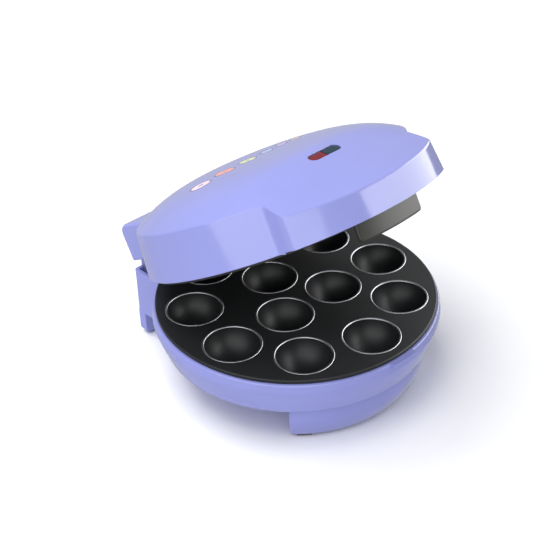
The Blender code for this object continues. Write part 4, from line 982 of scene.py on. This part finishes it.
# %% Lens materials
WAVE_TURN = 1 / 20        # the wave texture repeats about 20 times faster than its scale says


def tinted_lens(name, dark, bright):
    material, shader, spot = start_material(name, {"Roughness": 0.08, "IOR": 1.49})
    ribs = add_node(material, "ShaderNodeTexWave",
                    {"Vector": spot, "Scale": WAVE_TURN / (0.8 * MM), "Distortion": 0.0},
                    wave_type="BANDS", bands_direction="X", wave_profile="SIN")
    depth = add_node(material, "ShaderNodeTexNoise", {"Vector": spot, "Scale": 1 / (4 * MM), "Detail": 1.0})
    tint = add_node(material, "ShaderNodeValToRGB", {"Fac": depth.outputs["Fac"]})
    tint.color_ramp.elements[0].color = linear(dark)
    tint.color_ramp.elements[1].color = linear(bright)
    connect(material, tint.outputs["Color"], shader.inputs["Base Color"])
    prism = add_node(material, "ShaderNodeBump", {"Height": ribs.outputs["Fac"], "Strength": 0.1,
                                                  "Distance": 0.1 * MM})
    connect(material, prism.outputs["Normal"], shader.inputs["Normal"])
    return material


red_tint = tinted_lens("acrylic_tinted_red", "#5A0210", "#7C0518")
green_tint = tinted_lens("acrylic_tinted_green", "#01222F", "#033244")


# %% Lenses
def lens_ring(side, shrink, z, steps=14):
    """Half of the slot's outline, cut off square in the middle, drawn in by an amount."""
    radius = LENS_WIDTH / 2 - shrink
    middle = (LENS_LENGTH - LENS_WIDTH) / 2
    start = FIT_GAP / 2 + min(shrink, 0.3 * MM)
    ring = [(side * start, -radius, z)]
    for i in range(steps + 1):
        a = math.pi * (i / steps - 0.5)
        ring.append((side * (middle + radius * math.cos(a)), radius * math.sin(a), z))
    return ring + [(side * start, radius, z)]


crown = ((0, -LENS_DEPTH - LENS_RECESS), (0, -1.2 * MM), (0.08 * MM, -1.0 * MM), (0.25 * MM, -0.9 * MM),
         (0.6 * MM, -0.84 * MM), (1.6 * MM, -0.8 * MM), (3.0 * MM, -0.78 * MM))
for side, word, tint in ((-1, "red", red_tint), (1, "green", green_tint)):
    lens = framed(stacked(f"{word}_window_lens", [lens_ring(side, shrink, z) for shrink, z in crown]))
    settle(lens, lid_place, "lid", tint, f"{word}_lens", f"{word}_lens")

# %% [markdown]
# ## The other finishes
#
# The remaining CAD pieces keep their shapes and get the finish of their real material: turned and
# zinc-plated steel, rolled aluminium sheet, the heat-tinted sheath of a tubular heater, steatite
# ceramic, natural nylon, moulded rubber and lamp glass.

# %% Zinc-plated steel
plated_steel, shader, spot = start_material("steel_zinc_plated", {"Metallic": 1.0})
crystals = add_node(plated_steel, "ShaderNodeTexVoronoi", {"Vector": spot, "Scale": 1 / (1.5 * MM)})
shade = add_node(plated_steel, "ShaderNodeValToRGB", {"Fac": crystals.outputs["Color"]})
shade.color_ramp.elements[0].color = linear("#A9ADB2")
shade.color_ramp.elements[1].color = linear("#C6CACE")
connect(plated_steel, shade.outputs["Color"], shader.inputs["Base Color"])
gloss = add_node(plated_steel, "ShaderNodeMapRange", {"Value": crystals.outputs["Distance"], "To Min": 0.25,
                                                       "To Max": 0.4})
connect(plated_steel, gloss.outputs["Result"], shader.inputs["Roughness"])

# %% Rolled aluminium sheet, with its rolling lines along Y
rolled_sheet, shader, spot = start_material("aluminium_sheet_rolled", {"Metallic": 1.0, "Roughness": 0.35})
LINE_WIDTH, LINE_LENGTH = 0.5 * MM, 30 * MM
stretch = add_node(rolled_sheet, "ShaderNodeMapping",
                   {"Vector": spot, "Scale": (1 / LINE_WIDTH, 1 / LINE_LENGTH, 1 / LINE_WIDTH)})
lines = add_node(rolled_sheet, "ShaderNodeTexNoise", {"Vector": stretch.outputs["Vector"],
                                                      "Scale": 1.0, "Detail": 3.0})
shade = add_node(rolled_sheet, "ShaderNodeValToRGB", {"Fac": lines.outputs["Fac"]})
shade.color_ramp.elements[0].color = linear("#BEC1C4")
shade.color_ramp.elements[1].color = linear("#DCDEE0")
connect(rolled_sheet, shade.outputs["Color"], shader.inputs["Base Color"])
skin = add_node(rolled_sheet, "ShaderNodeBump", {"Height": lines.outputs["Fac"], "Strength": 0.2,
                                                 "Distance": 0.05 * MM})
connect(rolled_sheet, skin.outputs["Normal"], shader.inputs["Normal"])

# %% Heater sheath: steel annealed in air, tinted straw to blue-grey
heater_sheath, shader, spot = start_material("steel_sheath_annealed", {"Metallic": 1.0, "Roughness": 0.45})
heat = add_node(heater_sheath, "ShaderNodeTexNoise", {"Vector": spot, "Scale": 1 / (18 * MM), "Detail": 4.0})
shade = add_node(heater_sheath, "ShaderNodeValToRGB", {"Fac": heat.outputs["Fac"]})
shade.color_ramp.elements[0].position = 0.35
shade.color_ramp.elements[0].color = linear("#8C8272")
shade.color_ramp.elements[1].position = 0.65
shade.color_ramp.elements[1].color = linear("#6C7178")
connect(heater_sheath, shade.outputs["Color"], shader.inputs["Base Color"])


# %% Ceramic, nylon and rubber: a speckled colour and a fine grain
def grained(name, dark, light, speck, roughness, bump):
    """An unmetallic material with a speckled colour and a small bump of one grain size in metres."""
    material, shader, spot = start_material(name, {"Roughness": roughness})
    grain = add_node(material, "ShaderNodeTexNoise", {"Vector": spot, "Scale": 1 / speck, "Detail": 4.0})
    shade = add_node(material, "ShaderNodeValToRGB", {"Fac": grain.outputs["Fac"]})
    shade.color_ramp.elements[0].position = 0.35
    shade.color_ramp.elements[0].color = linear(dark)
    shade.color_ramp.elements[1].position = 0.65
    shade.color_ramp.elements[1].color = linear(light)
    connect(material, shade.outputs["Color"], shader.inputs["Base Color"])
    skin = add_node(material, "ShaderNodeBump", {"Height": grain.outputs["Fac"], "Strength": bump,
                                                 "Distance": 0.1 * MM})
    connect(material, skin.outputs["Normal"], shader.inputs["Normal"])
    return material


steatite = grained("steatite_ceramic_fired", "#DAD3C4", "#F0EBDF", 0.8 * MM, 0.55, 0.2)
nylon = grained("nylon_natural_moulded", "#DDD8C8", "#E9E5D8", 6 * MM, 0.45, 0.1)
rubber = grained("rubber_moulded", "#26262A", "#323236", 0.6 * MM, 0.8, 0.35)

# %% Lamp glass with a faint orange glow tint
lamp_glass, shader, spot = start_material("soda_glass_blown", {"Transmission Weight": 0.9, "Roughness": 0.05,
                                                               "IOR": 1.52})
film = add_node(lamp_glass, "ShaderNodeTexNoise", {"Vector": spot, "Scale": 1 / (2 * MM)})
shade = add_node(lamp_glass, "ShaderNodeValToRGB", {"Fac": film.outputs["Fac"]})
shade.color_ramp.elements[0].color = linear("#F2D9C6")
shade.color_ramp.elements[1].color = linear("#FBF1EA")
connect(lamp_glass, shade.outputs["Color"], shader.inputs["Base Color"])

# %% Give every CAD node that still shows its finish
FINISHES = {"plated_steel": plated_steel, "aluminium_sheet": rolled_sheet, "heater_sheath": heater_sheath,
            "steatite": steatite, "natural_nylon": nylon, "rubber": rubber, "black_plastic": black_satin,
            "lamp_glass": lamp_glass, "lavender_plastic": lavender, "nonstick_coating": coating,
            "red_lens": red_tint, "green_lens": green_tint}
for node in nodes.values():
    slot = node.data.materials[0].name
    node.data.materials.clear()
    node.data.materials.append(FINISHES[slot])
print("finishes on", len(nodes), "CAD nodes")

# %% [markdown]
# ## Print on the dome
#
# The dome carries a small screen print. Here it is a generic row of six rings with coloured fillings, which
# says nothing and belongs to nobody. Ink lies about 0.05 mm thick on the plastic, so each ring is a very
# thin closed band that follows the lid's formula. It keeps its line even where the dome curves, and it is
# a piece of its own that can be left out.

# %% Printed rings
def ink(name, dark, light):
    return grained(name, dark, light, 0.8 * MM, 0.35, 0.05)


INK_THICKNESS = 0.05 * MM


def printed_ring(name, centre, outer, inner, material, steps=48):
    """A flat ring, or a disc with a small hole, laid on the lid's top."""
    rings = []
    for radius, lift in ((inner, -INK_THICKNESS), (inner, INK_THICKNESS),
                         (outer, INK_THICKNESS), (outer, -INK_THICKNESS)):
        ring = []
        for i in range(steps):
            a = 2 * math.pi * i / steps
            x, y = centre[0] + radius * math.cos(a), centre[1] + radius * math.sin(a)
            ring.append((x, y, lid_top(x, y) + lift))
        rings.append(ring)
    shape = bmesh.new()
    layers = [[shape.verts.new(point) for point in ring] for ring in rings]
    for low, high in zip(layers, layers[1:] + layers[:1]):
        for i in range(steps):
            j = (i + 1) % steps
            shape.faces.new((low[i], low[j], high[j], high[i]))
    return settle(new_piece(name, shape), lid_place, "lid", material, "lavender_plastic")


PRINT_Y = 7 * MM
PRINT_LINE = 0.7 * MM
# Each ring: its place across the dome and its radius in mm, and its filling.
PRINT = ((-50, 8.0, "rose", "#F3D8DE"), (-28, 8.0, "salmon", "#F0A493"), (-7, 7.0, "lime", "#DDE3A6"),
         (11, 5.0, "sky", "#B9CFF0"), (25, 4.5, "lilac", "#D5BDE8"), (38, 4.5, "sand", "#EBD3AC"))
plum_ink = ink("screen_ink_plum", "#57406A", "#664C7A")
for number, (x, size, word, colour) in enumerate(PRINT, 1):
    spot, radius = (x * MM, PRINT_Y), size * MM
    printed_ring(f"print_ring_{number}", spot, radius, radius - PRINT_LINE, plum_ink)
    printed_ring(f"print_icing_{number}", spot, radius - PRINT_LINE - 0.2 * MM, radius * 0.3,
                 ink(f"screen_ink_{word}", colour, colour))

# %% [markdown]
# ## Size of the fine model
#
# The CAD model's box and the fine model's box are printed side by side, in mm. The fine
# model has to keep to the CAD model's box.

# %% Write both boxes
bpy.context.view_layer.update()
new_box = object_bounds()
for label, box in (("CAD", cad_box), ("visual", new_box)):
    print(label, [[round(c / MM, 2) for c in corner] for corner in box])
